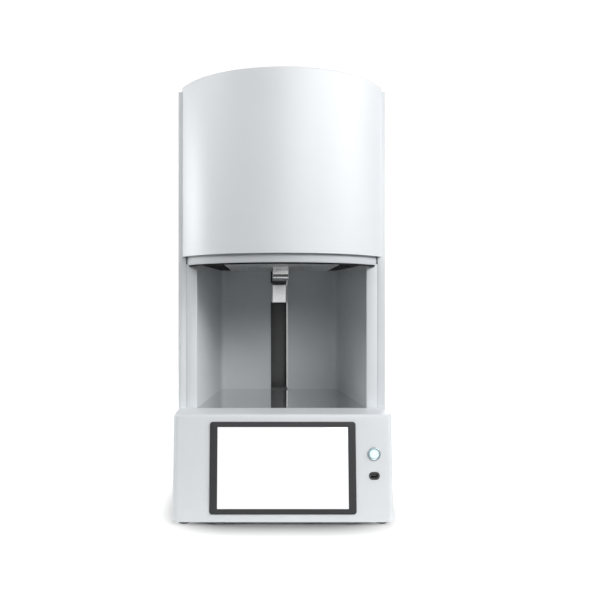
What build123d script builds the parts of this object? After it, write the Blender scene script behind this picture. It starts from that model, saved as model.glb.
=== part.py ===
from build123d import *
from math import atan2, cos, degrees, radians, sin, sqrt, tan
import os

# Bench-top sintering furnace for dental work, loaded from below.
# Millimetres. X is across the front, the front faces -Y, and +Z is up.
# The origin is on the bench, at the middle of the whole furnace's footprint.

os.makedirs("parts", exist_ok=True)

# ---- driving dimensions -------------------------------------------------------

# Housing
housing_width = 370
tower_depth = 352        # tower's front plane to the back of the rear panel
head_reach = 109         # the bowed head stands this far in front of the tower
guard_height = 6         # fan guards stand this far behind the rear panel
foot_height = 6
deck_height = 182        # top of the console, level with the loading bay's floor
side_top = 747
head_height = 310        # from the head's underside to the top of the side panels
head_rise = 9            # head cover's top above the side panels
sheet = 1.5              # folded steel sheet
skin = 2                 # head cover's sheet
gap = 0.2                # fitting gap between neighbouring pieces

# Console
deck_depth = 68          # deck's front edge in front of the tower
toe_depth = 86           # console's lower front edge in front of the tower
console_wall = 3
console_corner = 10
deck_edge_radius = 4
pan_sheet = 2
pan_rim = 14
foot_diameter = 20
foot_inset = 19          # foot centre from the side of the housing
foot_chamfer = 1

# Screen, a ten-inch wide panel in a flat bezel
bezel_width = 245
bezel_height = 152
bezel_corner = 5
bezel_proud = 2
bezel_rise = 12.7        # bezel's lower edge above the console's, up the slope
screen_width = 219
screen_height = 134
glass_thickness = 1.6
panel_margin = 5         # screen module around the visible picture
panel_depth = 9
board_width = 150
board_height = 90
board_thickness = 1.6
board_gap = 12           # control board behind the screen module

# Start button and data port, on the slope at the right of the screen
control_inset = 32       # button and port from the side of the housing
button_rise = 110.6
ring_diameter = 22
barrel_diameter = 18.6
button_diameter = 15.4
button_travel = 2.5
button_clearance = 0.15
ring_height = 2
barrel_depth = 30
port_rise = 75.4
port_width = 18
port_height = 13
port_proud = 1.2
port_mouth_width = 14
port_mouth_height = 8
port_depth = 16

# Tower
pillar_width = 33.5      # front of each pillar beside the loading bay
panel_return = 14        # folded edge of a side panel
side_corner = 10
upright_size = 20
upright_wall = 2
upright_inset = 9        # upright from the side of the housing
upright_setback = 4      # front uprights behind the tower's front plane
rear_sheet = 2

# Loading bay
bay_depth = 259
bay_back_width = 250
bay_corner = 14
slot_width = 36
slot_sill = 3            # slot's lower end above the bay's floor
floor_plate = 3

# Head
head_inset = 7           # head cover's side from the side of the housing
cover_lift = 15          # head cover's lower edge above the head's underside
cover_edge = 3           # rounding of the cover's upper edge
skirt_inset = 8          # skirt inside the head cover's outline
skirt_height = 33
skirt_flange = 2
skirt_reveal = 2         # skirt's lower edge below the ceiling plate
ceiling_plate_thickness = 3
shield_width = 205
shield_front = 44        # light shield's front edge in front of the tower
vent_width = 236
vent_depth = 116
vent_margin = 56         # vent's rear edge from the back of the tower

# Heating chamber
chamber_setback = 108    # chamber's axis behind the tower's front plane
casing_diameter = 284
casing_sheet = 1.5
casing_flange = 9
chamber_diameter = 150
chamber_height = 110
base_height = 72
lid_height = 70
throat_clearance = 1.5
element_count = 4
element_wire = 5
element_circle = 63      # elements' distance from the chamber's axis
element_spread = 40      # between the two legs of one element
element_lowest = 88      # lowest point of an element above the chamber plate
element_stub = 28        # legs above the lid
element_hole = 6
clamp_height = 14
strap_height = 8
probe_diameter = 8
probe_reach = 24         # thermocouple's tip below the lid

# Plug
plug_diameter = 110
plug_height = 75
plug_plate_diameter = 125
plug_plate_thickness = 4
setter_diameter = 100
setter_thickness = 4

# Lift
lift_travel = 180
lift_setback = 298       # lift screw behind the tower's front plane
column_width = 80
column_front = 278       # column's front edge behind the tower's front plane
column_depth = 48
column_wall = 5
strip_width = 52
strip_thickness = 3
strip_recess = 3         # strip behind the column's front edge
screw_diameter = 10
running_clearance = 0.05
rod_diameter = 8
rod_spread = 48
carriage_width = 66
carriage_height = 40
carriage_drop = 65       # carriage's underside below the head's underside
carriage_body_depth = 25
table_front = 268        # carriage's front plate behind the tower's front plane
table_thickness = 6
nut_diameter = 18
nut_flange_diameter = 23.6
nut_flange = 6
block_height_lower = 16
block_height_upper = 12
block_clearance = 1      # round the screw
end_gap = 10             # carriage's nut to the lower block at the end of the travel
bearing_diameter = 22
bearing_width = 6
motor_size = 42.3
motor_height = 48
arm_width = 30
arm_height = 20
arm_wall = 3
arm_end = 98             # arm's front end behind the tower's front plane
root_thickness = 6
cover_width = 34
cover_reach = 13
cover_corner = 4
cover_drop = 67.5        # root cover's lower end below the head's underside
cover_height = 38.5

# Rear
fan_size = 60
fan_depth = 15
fan_bore = 57
fan_hub = 28
fan_tip_gap = 1
fan_blades = 7
fan_screw_spread = 50
fan_corner = 4
base_fan_inset = 85      # base fan's axis from the side of the housing
base_fan_z = 92
head_fan_drop = 107      # head fan's axis below the side panels' top
breaker_gap = 7          # between the lift column and the breaker
inlet_z = 48
inlet_width = 31
inlet_height = 24
inlet_offset = 50        # mains inlet beside the breaker
breaker_width = 26
breaker_height = 38
rocker_swing = 18        # degrees from on to off

# ---- places worked out from them ----------------------------------------------

half_width = housing_width / 2
ceiling_height = side_top - head_height
head_top = side_top + head_rise
head_front = -(head_reach + tower_depth + guard_height) / 2
tower_front = head_front + head_reach
tower_back = tower_front + tower_depth
panel_back = tower_back - rear_sheet
bay_back = tower_front + bay_depth
bay_half = half_width - pillar_width
chamber_y = tower_front + chamber_setback
lift_y = tower_front + lift_setback
console_front = tower_front - toe_depth
lean = atan2(toe_depth - deck_depth, deck_height - foot_height)
front_panel = Plane(
    origin=(0, console_front, foot_height), x_dir=(1, 0, 0), z_dir=(0, -cos(lean), sin(lean))
)
outward = Axis(front_panel.origin, front_panel.z_dir)
control_x = half_width - control_inset
upright_x = half_width - upright_inset - upright_size / 2
upright_front_y = tower_front + upright_setback + upright_size / 2
upright_back_y = panel_back - upright_setback - upright_size / 2
shelf_bottom = ceiling_height + skirt_reveal
shelf_top = shelf_bottom + ceiling_plate_thickness
cover_bottom = ceiling_height + cover_lift
skirt_top = ceiling_height + skirt_height
carriage_bottom = ceiling_height - carriage_drop


def across(setback):
    """Y of a place that lies this far behind the tower's front plane."""
    return tower_front + setback


def on_panel(x, rise, height=0):
    """Plane on the console's sloping front, raised off it by height."""
    return Plane(front_panel.from_local_coords((x, rise, height)), x_dir=(1, 0, 0), z_dir=front_panel.z_dir)


# ---- base -----------------------------------------------------------------------

pan_half = half_width - console_wall - gap
pan_front = console_front + console_wall + gap
with BuildPart() as base_pan:
    with BuildSketch(Plane.XY.offset(foot_height)) as pan_floor:
        with BuildLine():
            Polyline(
                (-pan_half, pan_front), (pan_half, pan_front), (pan_half, panel_back - sheet - gap),
                (-pan_half, panel_back - sheet - gap), close=True,
            )
        make_face()
        fillet(pan_floor.vertices().group_by(Axis.Y)[0], console_corner + pan_sheet)
    extrude(amount=pan_rim)
    with BuildSketch(Plane.XY.offset(foot_height + pan_sheet)):
        offset(pan_floor.sketch, amount=-sheet)
    extrude(amount=pan_rim, mode=Mode.SUBTRACT)
    # the rim leans back with the console's front
    with BuildSketch(Plane.YZ):
        with BuildLine():
            Polyline(
                (console_front, foot_height), (pan_front, foot_height),
                (pan_front + pan_rim * tan(lean), foot_height + pan_rim),
                (console_front, foot_height + pan_rim), close=True,
            )
        make_face()
    extrude(amount=half_width, both=True, mode=Mode.SUBTRACT)
base_pan.part.label = "base_pan"
export_step(base_pan.part, "parts/base_pan.step")

foot_places = [
    (side * (half_width - foot_inset), y)
    for side in (-1, 1)
    for y in (console_front + foot_inset, panel_back - foot_inset)
]
with BuildPart() as rubber_feet:
    with BuildSketch():
        with Locations(*foot_places):
            Circle(foot_diameter / 2)
    extrude(amount=foot_height)
    chamfer(rubber_feet.edges().group_by(Axis.Z)[0], foot_chamfer)
rubber_feet.part.label = "rubber_feet"
export_step(rubber_feet.part, "parts/rubber_feet.step")

# Console: a wedge open at the back and below, with openings for screen, button and port


def console_wedge(wall, overrun):
    """Side profile of the console's wedge, this far inside its skin, run past its open sides."""
    low = foot_height - overrun
    high = deck_height - wall
    front = console_front + wall / cos(lean)
    with BuildSketch(Plane.YZ.offset(wall - half_width)) as profile:
        with BuildLine():
            Polyline(
                (front + (low - foot_height) * tan(lean), low),
                (front + (high - foot_height) * tan(lean), high),
                (tower_front - gap + overrun, high), (tower_front - gap + overrun, low), close=True,
            )
        make_face()
    return profile.sketch


def front_corners(wedge):
    """The two edges up the front of a wedge."""
    return wedge.edges().filter_by(
        lambda edge: abs(edge.tangent_at(0).Z) > 0.9 and edge.center().Y < tower_front - deck_depth
    )


with BuildPart() as console_core:
    extrude(console_wedge(console_wall, 1), amount=housing_width - 2 * console_wall)
    fillet(front_corners(console_core), console_corner - console_wall)

with BuildPart() as console_shell:
    extrude(console_wedge(0, 0), amount=housing_width)
    fillet(front_corners(console_shell), console_corner)
    fillet(console_shell.edges().group_by(Axis.Z)[-1].sort_by(Axis.Y)[0], deck_edge_radius)
    add(console_core.part, mode=Mode.SUBTRACT)
    with BuildSketch(on_panel(0, bezel_rise + bezel_height / 2, 1)):
        Rectangle(screen_width + 2 * panel_margin + 2 * gap, screen_height + 2 * panel_margin + 2 * gap)
    extrude(amount=-2 * console_wall, mode=Mode.SUBTRACT)
    with BuildSketch(on_panel(control_x, button_rise, 1)):
        Circle(barrel_diameter / 2 + gap)
    extrude(amount=-2 * console_wall, mode=Mode.SUBTRACT)
    with BuildSketch(on_panel(control_x, port_rise, 1)):
        Rectangle(port_mouth_width + 2 * gap, port_mouth_height + 2 * gap)
    extrude(amount=-2 * console_wall, mode=Mode.SUBTRACT)
console_shell.part.label = "console_shell"
export_step(console_shell.part, "parts/console_shell.step")

# ---- screen ---------------------------------------------------------------------

screen_rise = bezel_rise + bezel_height / 2
with BuildPart() as display_bezel:
    with BuildSketch(on_panel(0, screen_rise)):
        RectangleRounded(bezel_width, bezel_height, bezel_corner)
        Rectangle(screen_width + 2 * gap, screen_height + 2 * gap, mode=Mode.SUBTRACT)
    extrude(amount=bezel_proud)
    bezel_rim = display_bezel.faces().sort_by(outward)[-1]
    fillet(bezel_rim.outer_wire().edges(), bezel_proud / 2)
display_bezel.part.label = "display_bezel"
export_step(display_bezel.part, "parts/display_bezel.step")

glass_front = bezel_proud - 0.4
with BuildPart() as display_glass:
    with BuildSketch(on_panel(0, screen_rise, glass_front)):
        Rectangle(screen_width, screen_height)
    extrude(amount=-glass_thickness)
display_glass.part.label = "display_glass"
export_step(display_glass.part, "parts/display_glass.step")

with BuildPart() as display_panel:
    with BuildSketch(on_panel(0, screen_rise)):
        Rectangle(screen_width + 2 * panel_margin, screen_height + 2 * panel_margin)
    extrude(amount=-panel_depth)
display_panel.part.label = "display_panel"
export_step(display_panel.part, "parts/display_panel.step")

board_back = -(panel_depth + board_gap + board_thickness)
standoff_diameter = 6
with BuildPart() as control_board:
    with BuildSketch(on_panel(0, screen_rise, board_back)):
        Rectangle(board_width, board_height)
    extrude(amount=board_thickness)
    with BuildSketch(on_panel(0, screen_rise, -panel_depth)):
        with GridLocations(board_width - 2 * standoff_diameter, board_height - 2 * standoff_diameter, 2, 2):
            Circle(standoff_diameter / 2)
    extrude(amount=-board_gap)
    with BuildSketch(on_panel(0, screen_rise, board_back)):
        with GridLocations(board_width / 4, board_height / 3, 3, 2):
            Rectangle(board_width / 8, board_height / 6)
    extrude(amount=-board_gap / 3)
control_board.part.label = "control_board"
export_step(control_board.part, "parts/control_board.step")

# ---- start button and data port -------------------------------------------------

button_bore = button_diameter + 2 * button_clearance
barrel_floor = 3
with BuildPart() as button_ring:
    with BuildSketch(on_panel(control_x, button_rise)):
        Circle(ring_diameter / 2)
    extrude(amount=ring_height, taper=20)
    with BuildSketch(on_panel(control_x, button_rise)):
        Circle(barrel_diameter / 2)
    extrude(amount=-barrel_depth)
    with BuildSketch(on_panel(control_x, button_rise, ring_height)):
        Circle(button_bore / 2)
    extrude(amount=-(ring_height + barrel_depth - barrel_floor), mode=Mode.SUBTRACT)
button_ring.part.label = "button_ring"
export_step(button_ring.part, "parts/button_ring.step")

cap_height = 12
with BuildPart() as start_button:
    with BuildSketch(on_panel(control_x, button_rise, ring_height + button_travel)):
        Circle(button_diameter / 2)
    extrude(amount=-cap_height)
    cap_edge = start_button.edges().sort_by(outward)[-1]
    fillet(cap_edge, 1)
start_button.part.label = "start_button"
export_step(start_button.part, "parts/start_button.step")

with BuildPart() as port_bezel:
    with BuildSketch(on_panel(control_x, port_rise)):
        RectangleRounded(port_width, port_height, port_height / 2 - gap)
        Rectangle(port_mouth_width, port_mouth_height, mode=Mode.SUBTRACT)
    extrude(amount=port_proud)
port_bezel.part.label = "port_bezel"
export_step(port_bezel.part, "parts/port_bezel.step")

port_shell = 0.8
tongue_thickness = 1.8
tongue_setback = 6
with BuildPart() as data_socket:
    with BuildSketch(on_panel(control_x, port_rise)):
        Rectangle(port_mouth_width, port_mouth_height)
    extrude(amount=-port_depth)
    with BuildSketch(on_panel(control_x, port_rise)):
        Rectangle(port_mouth_width - 2 * port_shell, port_mouth_height - 2 * port_shell)
    extrude(amount=-(port_depth - port_shell), mode=Mode.SUBTRACT)
    with BuildSketch(on_panel(control_x, port_rise, -tongue_setback)):
        Rectangle(port_mouth_width - 4 * port_shell, tongue_thickness)
    extrude(amount=-(port_depth - tongue_setback))
data_socket.part.label = "data_socket"
export_step(data_socket.part, "parts/data_socket.step")

# ---- tower ----------------------------------------------------------------------

# Side panels: folded trays of sheet with a rounded corner at the top of the front
for name, side in (("left_side_panel", -1), ("right_side_panel", 1)):
    outer_face = Plane.YZ.offset(side * half_width)
    with BuildPart() as side_panel:
        with BuildSketch(outer_face) as panel_outline:
            with BuildLine():
                Polyline(
                    (tower_front, foot_height), (tower_front, side_top),
                    (panel_back, side_top), (panel_back, foot_height), close=True,
                )
            make_face()
            fillet(panel_outline.vertices().sort_by(Axis.Y)[:2].sort_by(Axis.Z)[-1], side_corner)
        extrude(amount=-side * panel_return)
        with BuildSketch(outer_face.offset(-side * sheet)):
            offset(panel_outline.sketch_local, amount=-sheet)
        extrude(amount=-side * panel_return, mode=Mode.SUBTRACT)
        # the folds stop above the base pan, which runs through between the skins
        with BuildSketch(outer_face.offset(-side * sheet)):
            with Locations(((tower_front + panel_back) / 2, foot_height + (pan_rim + gap) / 2)):
                Rectangle(panel_back - tower_front, pan_rim + gap)
        extrude(amount=-side * panel_return, mode=Mode.SUBTRACT)
    side_panel.part.label = name
    export_step(side_panel.part, f"parts/{name}.step")

upright_places = [
    (side * upright_x, y) for side in (-1, 1) for y in (upright_front_y, upright_back_y)
]
upright_foot = foot_height + pan_sheet
upright_top = side_top - side_corner
with BuildPart() as frame_uprights:
    with BuildSketch(Plane.XY.offset(upright_foot)):
        with Locations(*upright_places):
            Rectangle(upright_size, upright_size)
            Rectangle(
                upright_size - 2 * upright_wall, upright_size - 2 * upright_wall, mode=Mode.SUBTRACT
            )
    extrude(amount=upright_top - upright_foot)
frame_uprights.part.label = "frame_uprights"
export_step(frame_uprights.part, "parts/frame_uprights.step")

# Pillar trims: folded strips between the side panels' front folds and the loading bay
trim_outer = half_width - panel_return - gap
with BuildPart() as pillar_trims:
    for side in (-1, 1):
        with BuildSketch(Plane.XY.offset(deck_height)):
            with BuildLine():
                Polyline(
                    (side * bay_half, tower_front), (side * trim_outer, tower_front),
                    (side * trim_outer, across(upright_setback - gap)),
                    (side * (trim_outer - sheet), across(upright_setback - gap)),
                    (side * (trim_outer - sheet), tower_front + sheet),
                    (side * bay_half, tower_front + sheet), close=True,
                )
            make_face()
        extrude(amount=shelf_bottom - deck_height)
pillar_trims.part.label = "pillar_trims"
export_step(pillar_trims.part, "parts/pillar_trims.step")

# ---- loading bay ----------------------------------------------------------------

back_half = bay_back_width / 2
wall_start = tower_front + sheet + gap
corner_run = bay_corner + 1
with BuildPart() as bay_side_walls:
    for side in (-1, 1):
        with BuildSketch(Plane.XY.offset(deck_height)):
            with BuildLine():
                FilletPolyline(
                    (side * bay_half, wall_start), (side * back_half, bay_back),
                    (side * (back_half - corner_run), bay_back), radius=bay_corner,
                )
                offset(amount=sheet, side=Side.LEFT if side < 0 else Side.RIGHT)
            make_face()
        extrude(amount=shelf_bottom - deck_height)
bay_side_walls.part.label = "bay_side_walls"
export_step(bay_side_walls.part, "parts/bay_side_walls.step")

back_wall_width = bay_back_width - 2 * corner_run - 2 * gap
slot_bottom = deck_height + slot_sill
with BuildPart() as bay_back_wall:
    with BuildSketch(Plane.XZ.offset(-bay_back)):
        with Locations((0, (deck_height + shelf_bottom) / 2)):
            Rectangle(back_wall_width, shelf_bottom - deck_height)
        with Locations((0, (slot_bottom + shelf_bottom) / 2)):
            Rectangle(slot_width, shelf_bottom - slot_bottom, mode=Mode.SUBTRACT)
    extrude(amount=-sheet)
bay_back_wall.part.label = "bay_back_wall"
export_step(bay_back_wall.part, "parts/bay_back_wall.step")

floor_back = bay_back + sheet + gap
floor_half = upright_x - upright_size / 2 - gap
with BuildPart() as bay_floor:
    with BuildSketch(Plane.XY.offset(deck_height - floor_plate)):
        with Locations((0, (tower_front + floor_back) / 2)):
            Rectangle(2 * floor_half, floor_back - tower_front)
    extrude(amount=floor_plate)
bay_floor.part.label = "bay_floor"
export_step(bay_floor.part, "parts/bay_floor.step")

# ---- head -----------------------------------------------------------------------


def bow(inset):
    """Front of the head, as an arc from side to side, this far inside the cover's skin."""
    half = half_width - head_inset
    radius = (half**2 + head_reach**2) / (2 * head_reach)
    centre_y = head_front + radius
    inner = radius - inset
    reach = sqrt(inner**2 - (tower_front - centre_y) ** 2)
    return ThreePointArc((-reach, tower_front), (0, centre_y - inner), (reach, tower_front))


def bowed_outline(height, inset, back):
    """D-shaped sketch of the head, with straight sides running back to this Y."""
    with BuildSketch(Plane.XY.offset(height)) as outline:
        with BuildLine():
            front = bow(inset)
            if back > tower_front:
                Polyline(front @ 1, ((front @ 1).X, back), ((front @ 0).X, back), front @ 0)
            else:
                Line(front @ 1, front @ 0)
        make_face()
    return outline.sketch


vent_y = across(tower_depth - vent_margin - vent_depth / 2)
cover_back = tower_back
with BuildPart() as head_cover:
    extrude(bowed_outline(cover_bottom, 0, tower_front), amount=head_top - cover_bottom)
    extrude(bowed_outline(side_top, 0, cover_back), amount=head_top - side_top)
    fillet(head_cover.faces().sort_by(Axis.Z)[-1].edges(), cover_edge)
    extrude(
        bowed_outline(cover_bottom, skin, tower_front), amount=head_top - skin - cover_bottom,
        mode=Mode.SUBTRACT,
    )
    extrude(
        bowed_outline(side_top, skin, cover_back - skin), amount=head_top - skin - side_top,
        mode=Mode.SUBTRACT,
    )
    with BuildSketch(Plane.XY.offset(head_top)):
        with Locations((0, vent_y)):
            RectangleRounded(vent_width, vent_depth, side_corner)
    extrude(amount=-2 * skin, mode=Mode.SUBTRACT)
head_cover.part.label = "head_cover"
export_step(head_cover.part, "parts/head_cover.step")

vent_lip = 8
louvre_pitch = 11
louvre_count = 9
louvre_width = 90
with BuildPart() as top_vent:
    with BuildSketch(Plane.XY.offset(head_top - skin)):
        with Locations((0, vent_y)):
            Rectangle(vent_width + 2 * vent_lip, vent_depth + 2 * vent_lip)
            with GridLocations(louvre_width + 2 * vent_lip, louvre_pitch, 2, louvre_count):
                SlotOverall(louvre_width, louvre_pitch / 2, mode=Mode.SUBTRACT)
    extrude(amount=-sheet)
top_vent.part.label = "top_vent"
export_step(top_vent.part, "parts/top_vent.step")

# Skirt: a second bowed ring that shows below the cover's edge
with BuildPart() as head_skirt:
    extrude(bowed_outline(ceiling_height, skirt_inset, tower_front), amount=skirt_top - ceiling_height)
    extrude(
        bowed_outline(skirt_top - skirt_flange, skin + gap, tower_front), amount=skirt_flange
    )
    extrude(
        bowed_outline(ceiling_height, skirt_inset + skin, tower_front), amount=skirt_top - ceiling_height,
        mode=Mode.SUBTRACT,
    )
head_skirt.part.label = "head_skirt"
export_step(head_skirt.part, "parts/head_skirt.step")

throat_diameter = plug_plate_diameter + 2 * throat_clearance
plate_half = half_width - sheet - gap
with BuildPart() as ceiling_plate:
    with BuildSketch(Plane.XY.offset(shelf_bottom)):
        add(bowed_outline(0, skirt_inset + skin + gap, tower_front))
        with Locations((0, (tower_front + sheet + panel_back - sheet) / 2)):
            Rectangle(2 * plate_half, panel_back - tower_front - 2 * sheet - 2 * gap)
        with Locations((0, tower_front + sheet)):
            Rectangle(2 * (half_width - panel_return - gap), 2 * sheet)
        with Locations(*upright_places):
            Rectangle(upright_size + 2 * gap, upright_size + 2 * gap, mode=Mode.SUBTRACT)
        with Locations((0, chamber_y)):
            Circle(throat_diameter / 2, mode=Mode.SUBTRACT)
    extrude(amount=ceiling_plate_thickness)
ceiling_plate.part.label = "ceiling_plate"
export_step(ceiling_plate.part, "parts/ceiling_plate.step")

with BuildPart() as light_shield:
    with BuildSketch(Plane.XY.offset(shelf_bottom)):
        with Locations((0, (across(-shield_front) + bay_back) / 2)):
            Rectangle(shield_width, shield_front + bay_depth - gap)
        with Locations((0, chamber_y)):
            Circle(throat_diameter / 2, mode=Mode.SUBTRACT)
    extrude(amount=-sheet)
light_shield.part.label = "light_shield"
export_step(light_shield.part, "parts/light_shield.step")

# ---- heating chamber ------------------------------------------------------------

chamber_floor = shelf_top + base_height
chamber_ceiling = chamber_floor + chamber_height
lid_top = chamber_ceiling + lid_height
insulation_radius = casing_diameter / 2 - casing_sheet - gap
chamber_plane = Plane((0, chamber_y, 0))

with BuildPart() as furnace_casing:
    with BuildSketch(chamber_plane.offset(shelf_top)):
        Circle(casing_diameter / 2 + casing_flange)
    extrude(amount=casing_sheet)
    with BuildSketch(chamber_plane.offset(shelf_top)):
        Circle(casing_diameter / 2)
    extrude(amount=lid_top - shelf_top)
    with BuildSketch(chamber_plane.offset(shelf_top)):
        Circle(casing_diameter / 2 - casing_sheet)
    extrude(amount=lid_top - shelf_top, mode=Mode.SUBTRACT)
furnace_casing.part.label = "furnace_casing"
export_step(furnace_casing.part, "parts/furnace_casing.step")

with BuildPart() as insulation_base:
    with BuildSketch(chamber_plane.offset(shelf_top)):
        Circle(insulation_radius)
        Circle(plug_diameter / 2 + throat_clearance, mode=Mode.SUBTRACT)
    extrude(amount=base_height)
insulation_base.part.label = "insulation_base"
export_step(insulation_base.part, "parts/insulation_base.step")

with BuildPart() as insulation_ring:
    with BuildSketch(chamber_plane.offset(chamber_floor)):
        Circle(insulation_radius)
        Circle(chamber_diameter / 2, mode=Mode.SUBTRACT)
    extrude(amount=chamber_height)
insulation_ring.part.label = "insulation_ring"
export_step(insulation_ring.part, "parts/insulation_ring.step")

# each element's legs stand either side of a spoke from the chamber's axis
spokes = [360 / element_count * (turn + 0.5) for turn in range(element_count)]
bend_radius = element_spread / 2


def element_leg(spoke, side):
    """X and Y of one leg, from the chamber's axis."""
    outward_x = cos(radians(spoke))
    outward_y = sin(radians(spoke))
    along = side * bend_radius
    return (
        element_circle * outward_x - along * outward_y, element_circle * outward_y + along * outward_x
    )


leg_places = [element_leg(spoke, side) for spoke in spokes for side in (-1, 1)]
with BuildPart() as insulation_lid:
    with BuildSketch(chamber_plane.offset(chamber_ceiling)):
        Circle(insulation_radius)
        Circle(probe_diameter / 2 + gap, mode=Mode.SUBTRACT)
        with Locations(*leg_places):
            Circle(element_hole / 2, mode=Mode.SUBTRACT)
    extrude(amount=lid_height)
insulation_lid.part.label = "insulation_lid"
export_step(insulation_lid.part, "parts/insulation_lid.step")

element_bottom = shelf_top + element_lowest
element_top = lid_top + element_stub
with BuildPart() as heating_elements:
    for spoke in spokes:
        outward_x = cos(radians(spoke))
        outward_y = sin(radians(spoke))
        element_plane = Plane(
            (element_circle * outward_x, chamber_y + element_circle * outward_y, 0),
            x_dir=(-outward_y, outward_x, 0), z_dir=(outward_x, outward_y, 0),
        )
        with BuildLine(element_plane) as element_path:
            left_leg = Line((-bend_radius, element_top), (-bend_radius, element_bottom + bend_radius))
            turn_arc = ThreePointArc(
                left_leg @ 1, (0, element_bottom), (bend_radius, element_bottom + bend_radius)
            )
            Line(turn_arc @ 1, (bend_radius, element_top))
        with BuildSketch(Plane(element_path.line @ 0, z_dir=element_path.line % 0)):
            Circle(element_wire / 2)
        sweep(path=element_path.line)
heating_elements.part.label = "heating_elements"
export_step(heating_elements.part, "parts/heating_elements.step")

clamp_depth = 18
clamp_width = element_spread + clamp_depth
clamp_places = [
    Location(
        (element_circle * cos(radians(spoke)), element_circle * sin(radians(spoke)), 0), (0, 0, spoke + 90)
    )
    for spoke in spokes
]
with BuildPart() as element_clamps:
    with BuildSketch(chamber_plane.offset(lid_top)):
        with Locations(*clamp_places):
            RectangleRounded(clamp_width, clamp_depth, clamp_depth / 6)
            with GridLocations(element_spread, 0, 2, 1):
                Circle(element_wire / 2 + running_clearance, mode=Mode.SUBTRACT)
    extrude(amount=clamp_height)
element_clamps.part.label = "element_clamps"
export_step(element_clamps.part, "parts/element_clamps.step")

# straps join each element's second leg to the next element's first, in series
strap_width = 12
strap_lift = 3
with BuildPart() as element_straps:
    for turn in range(element_count - 1):
        first = Vector(leg_places[2 * turn + 1])
        second = Vector(leg_places[2 * turn + 2])
        span = second - first
        middle = (first + second) / 2
        strap_bottom = lid_top + clamp_height + strap_lift
        with BuildSketch(Plane((middle.X, chamber_y + middle.Y, strap_bottom), x_dir=span)):
            SlotCenterToCenter(span.length, strap_width)
            with GridLocations(span.length, 0, 2, 1):
                Circle(element_wire / 2 + running_clearance, mode=Mode.SUBTRACT)
        extrude(amount=strap_height)
element_straps.part.label = "element_straps"
export_step(element_straps.part, "parts/element_straps.step")

probe_head_diameter = 26
probe_head_height = 20
with BuildPart() as thermocouple:
    with BuildSketch(chamber_plane.offset(chamber_ceiling - probe_reach)):
        Circle(probe_diameter / 2)
    extrude(amount=probe_reach + lid_height)
    fillet(thermocouple.edges().group_by(Axis.Z)[0], probe_diameter / 2 - gap)
    with BuildSketch(chamber_plane.offset(lid_top)):
        Circle(probe_head_diameter / 2)
    extrude(amount=probe_head_height)
thermocouple.part.label = "thermocouple"
export_step(thermocouple.part, "parts/thermocouple.step")

# ---- plug, carried by the lift --------------------------------------------------

with BuildPart() as plug_plate:
    with BuildSketch(chamber_plane.offset(ceiling_height)):
        Circle(plug_plate_diameter / 2)
    extrude(amount=plug_plate_thickness)
    chamfer(plug_plate.edges().group_by(Axis.Z)[0], sheet / 2)
plug_plate.part.label = "plug_plate"
export_step(plug_plate.part, "parts/plug_plate.step")

plug_bottom = ceiling_height + plug_plate_thickness
plug_top = plug_bottom + plug_height
with BuildPart() as plug_insulation:
    with BuildSketch(chamber_plane.offset(plug_bottom)):
        Circle(plug_diameter / 2)
    extrude(amount=plug_height)
    chamfer(plug_insulation.edges().group_by(Axis.Z)[-1], 2 * throat_clearance)
plug_insulation.part.label = "plug_insulation"
export_step(plug_insulation.part, "parts/plug_insulation.step")

setter_rim = 2
with BuildPart() as setter_plate:
    with BuildSketch(chamber_plane.offset(plug_top)):
        Circle(setter_diameter / 2)
    extrude(amount=setter_thickness)
    with BuildSketch(chamber_plane.offset(plug_top + setter_thickness)):
        Circle(setter_diameter / 2 - 2 * setter_rim)
    extrude(amount=-setter_rim, mode=Mode.SUBTRACT)
setter_plate.part.label = "setter_plate"
export_step(setter_plate.part, "parts/setter_plate.step")

# ---- lift -----------------------------------------------------------------------

lower_block_top = carriage_bottom - nut_flange - lift_travel - end_gap
lower_block_bottom = lower_block_top - block_height_lower
column_top = shelf_bottom
upper_block_bottom = column_top - block_height_upper
column_bottom = foot_height + pan_sheet
column_back = column_front + column_depth
lift_plane = Plane((0, lift_y, 0))
inner_width = column_width - 2 * column_wall

with BuildPart() as lift_column:
    with BuildSketch(Plane.XY.offset(column_bottom)):
        with Locations((0, across((column_front + column_back) / 2))):
            Rectangle(column_width, column_depth)
        with Locations((0, across((column_front + column_back - column_wall) / 2))):
            Rectangle(inner_width, column_depth - column_wall, mode=Mode.SUBTRACT)
    extrude(amount=column_top - column_bottom)
lift_column.part.label = "lift_column"
export_step(lift_column.part, "parts/lift_column.step")

strip_front = column_front + strip_recess
block_front = strip_front + strip_thickness
block_back = column_back - column_wall
with BuildPart() as bearing_blocks:
    for bottom, height in (
        (lower_block_bottom, block_height_lower), (upper_block_bottom, block_height_upper)
    ):
        with BuildSketch(Plane.XY.offset(bottom)):
            with Locations((0, across((block_front + block_back) / 2))):
                Rectangle(inner_width, block_back - block_front)
            with Locations((0, lift_y)):
                Circle(screw_diameter / 2 + block_clearance, mode=Mode.SUBTRACT)
                with GridLocations(rod_spread, 0, 2, 1):
                    Circle(rod_diameter / 2 + running_clearance, mode=Mode.SUBTRACT)
        extrude(amount=height)
    for pocket_bottom in (lower_block_top - bearing_width, column_top - bearing_width):
        with BuildSketch(lift_plane.offset(pocket_bottom)):
            Circle(bearing_diameter / 2 + running_clearance)
        extrude(amount=bearing_width, mode=Mode.SUBTRACT)
bearing_blocks.part.label = "bearing_blocks"
export_step(bearing_blocks.part, "parts/bearing_blocks.step")

with BuildPart() as screw_bearings:
    for pocket_bottom in (lower_block_top - bearing_width, column_top - bearing_width):
        with BuildSketch(lift_plane.offset(pocket_bottom)):
            Circle(bearing_diameter / 2)
            Circle(screw_diameter / 2 + running_clearance, mode=Mode.SUBTRACT)
        extrude(amount=bearing_width)
screw_bearings.part.label = "screw_bearings"
export_step(screw_bearings.part, "parts/screw_bearings.step")

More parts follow.
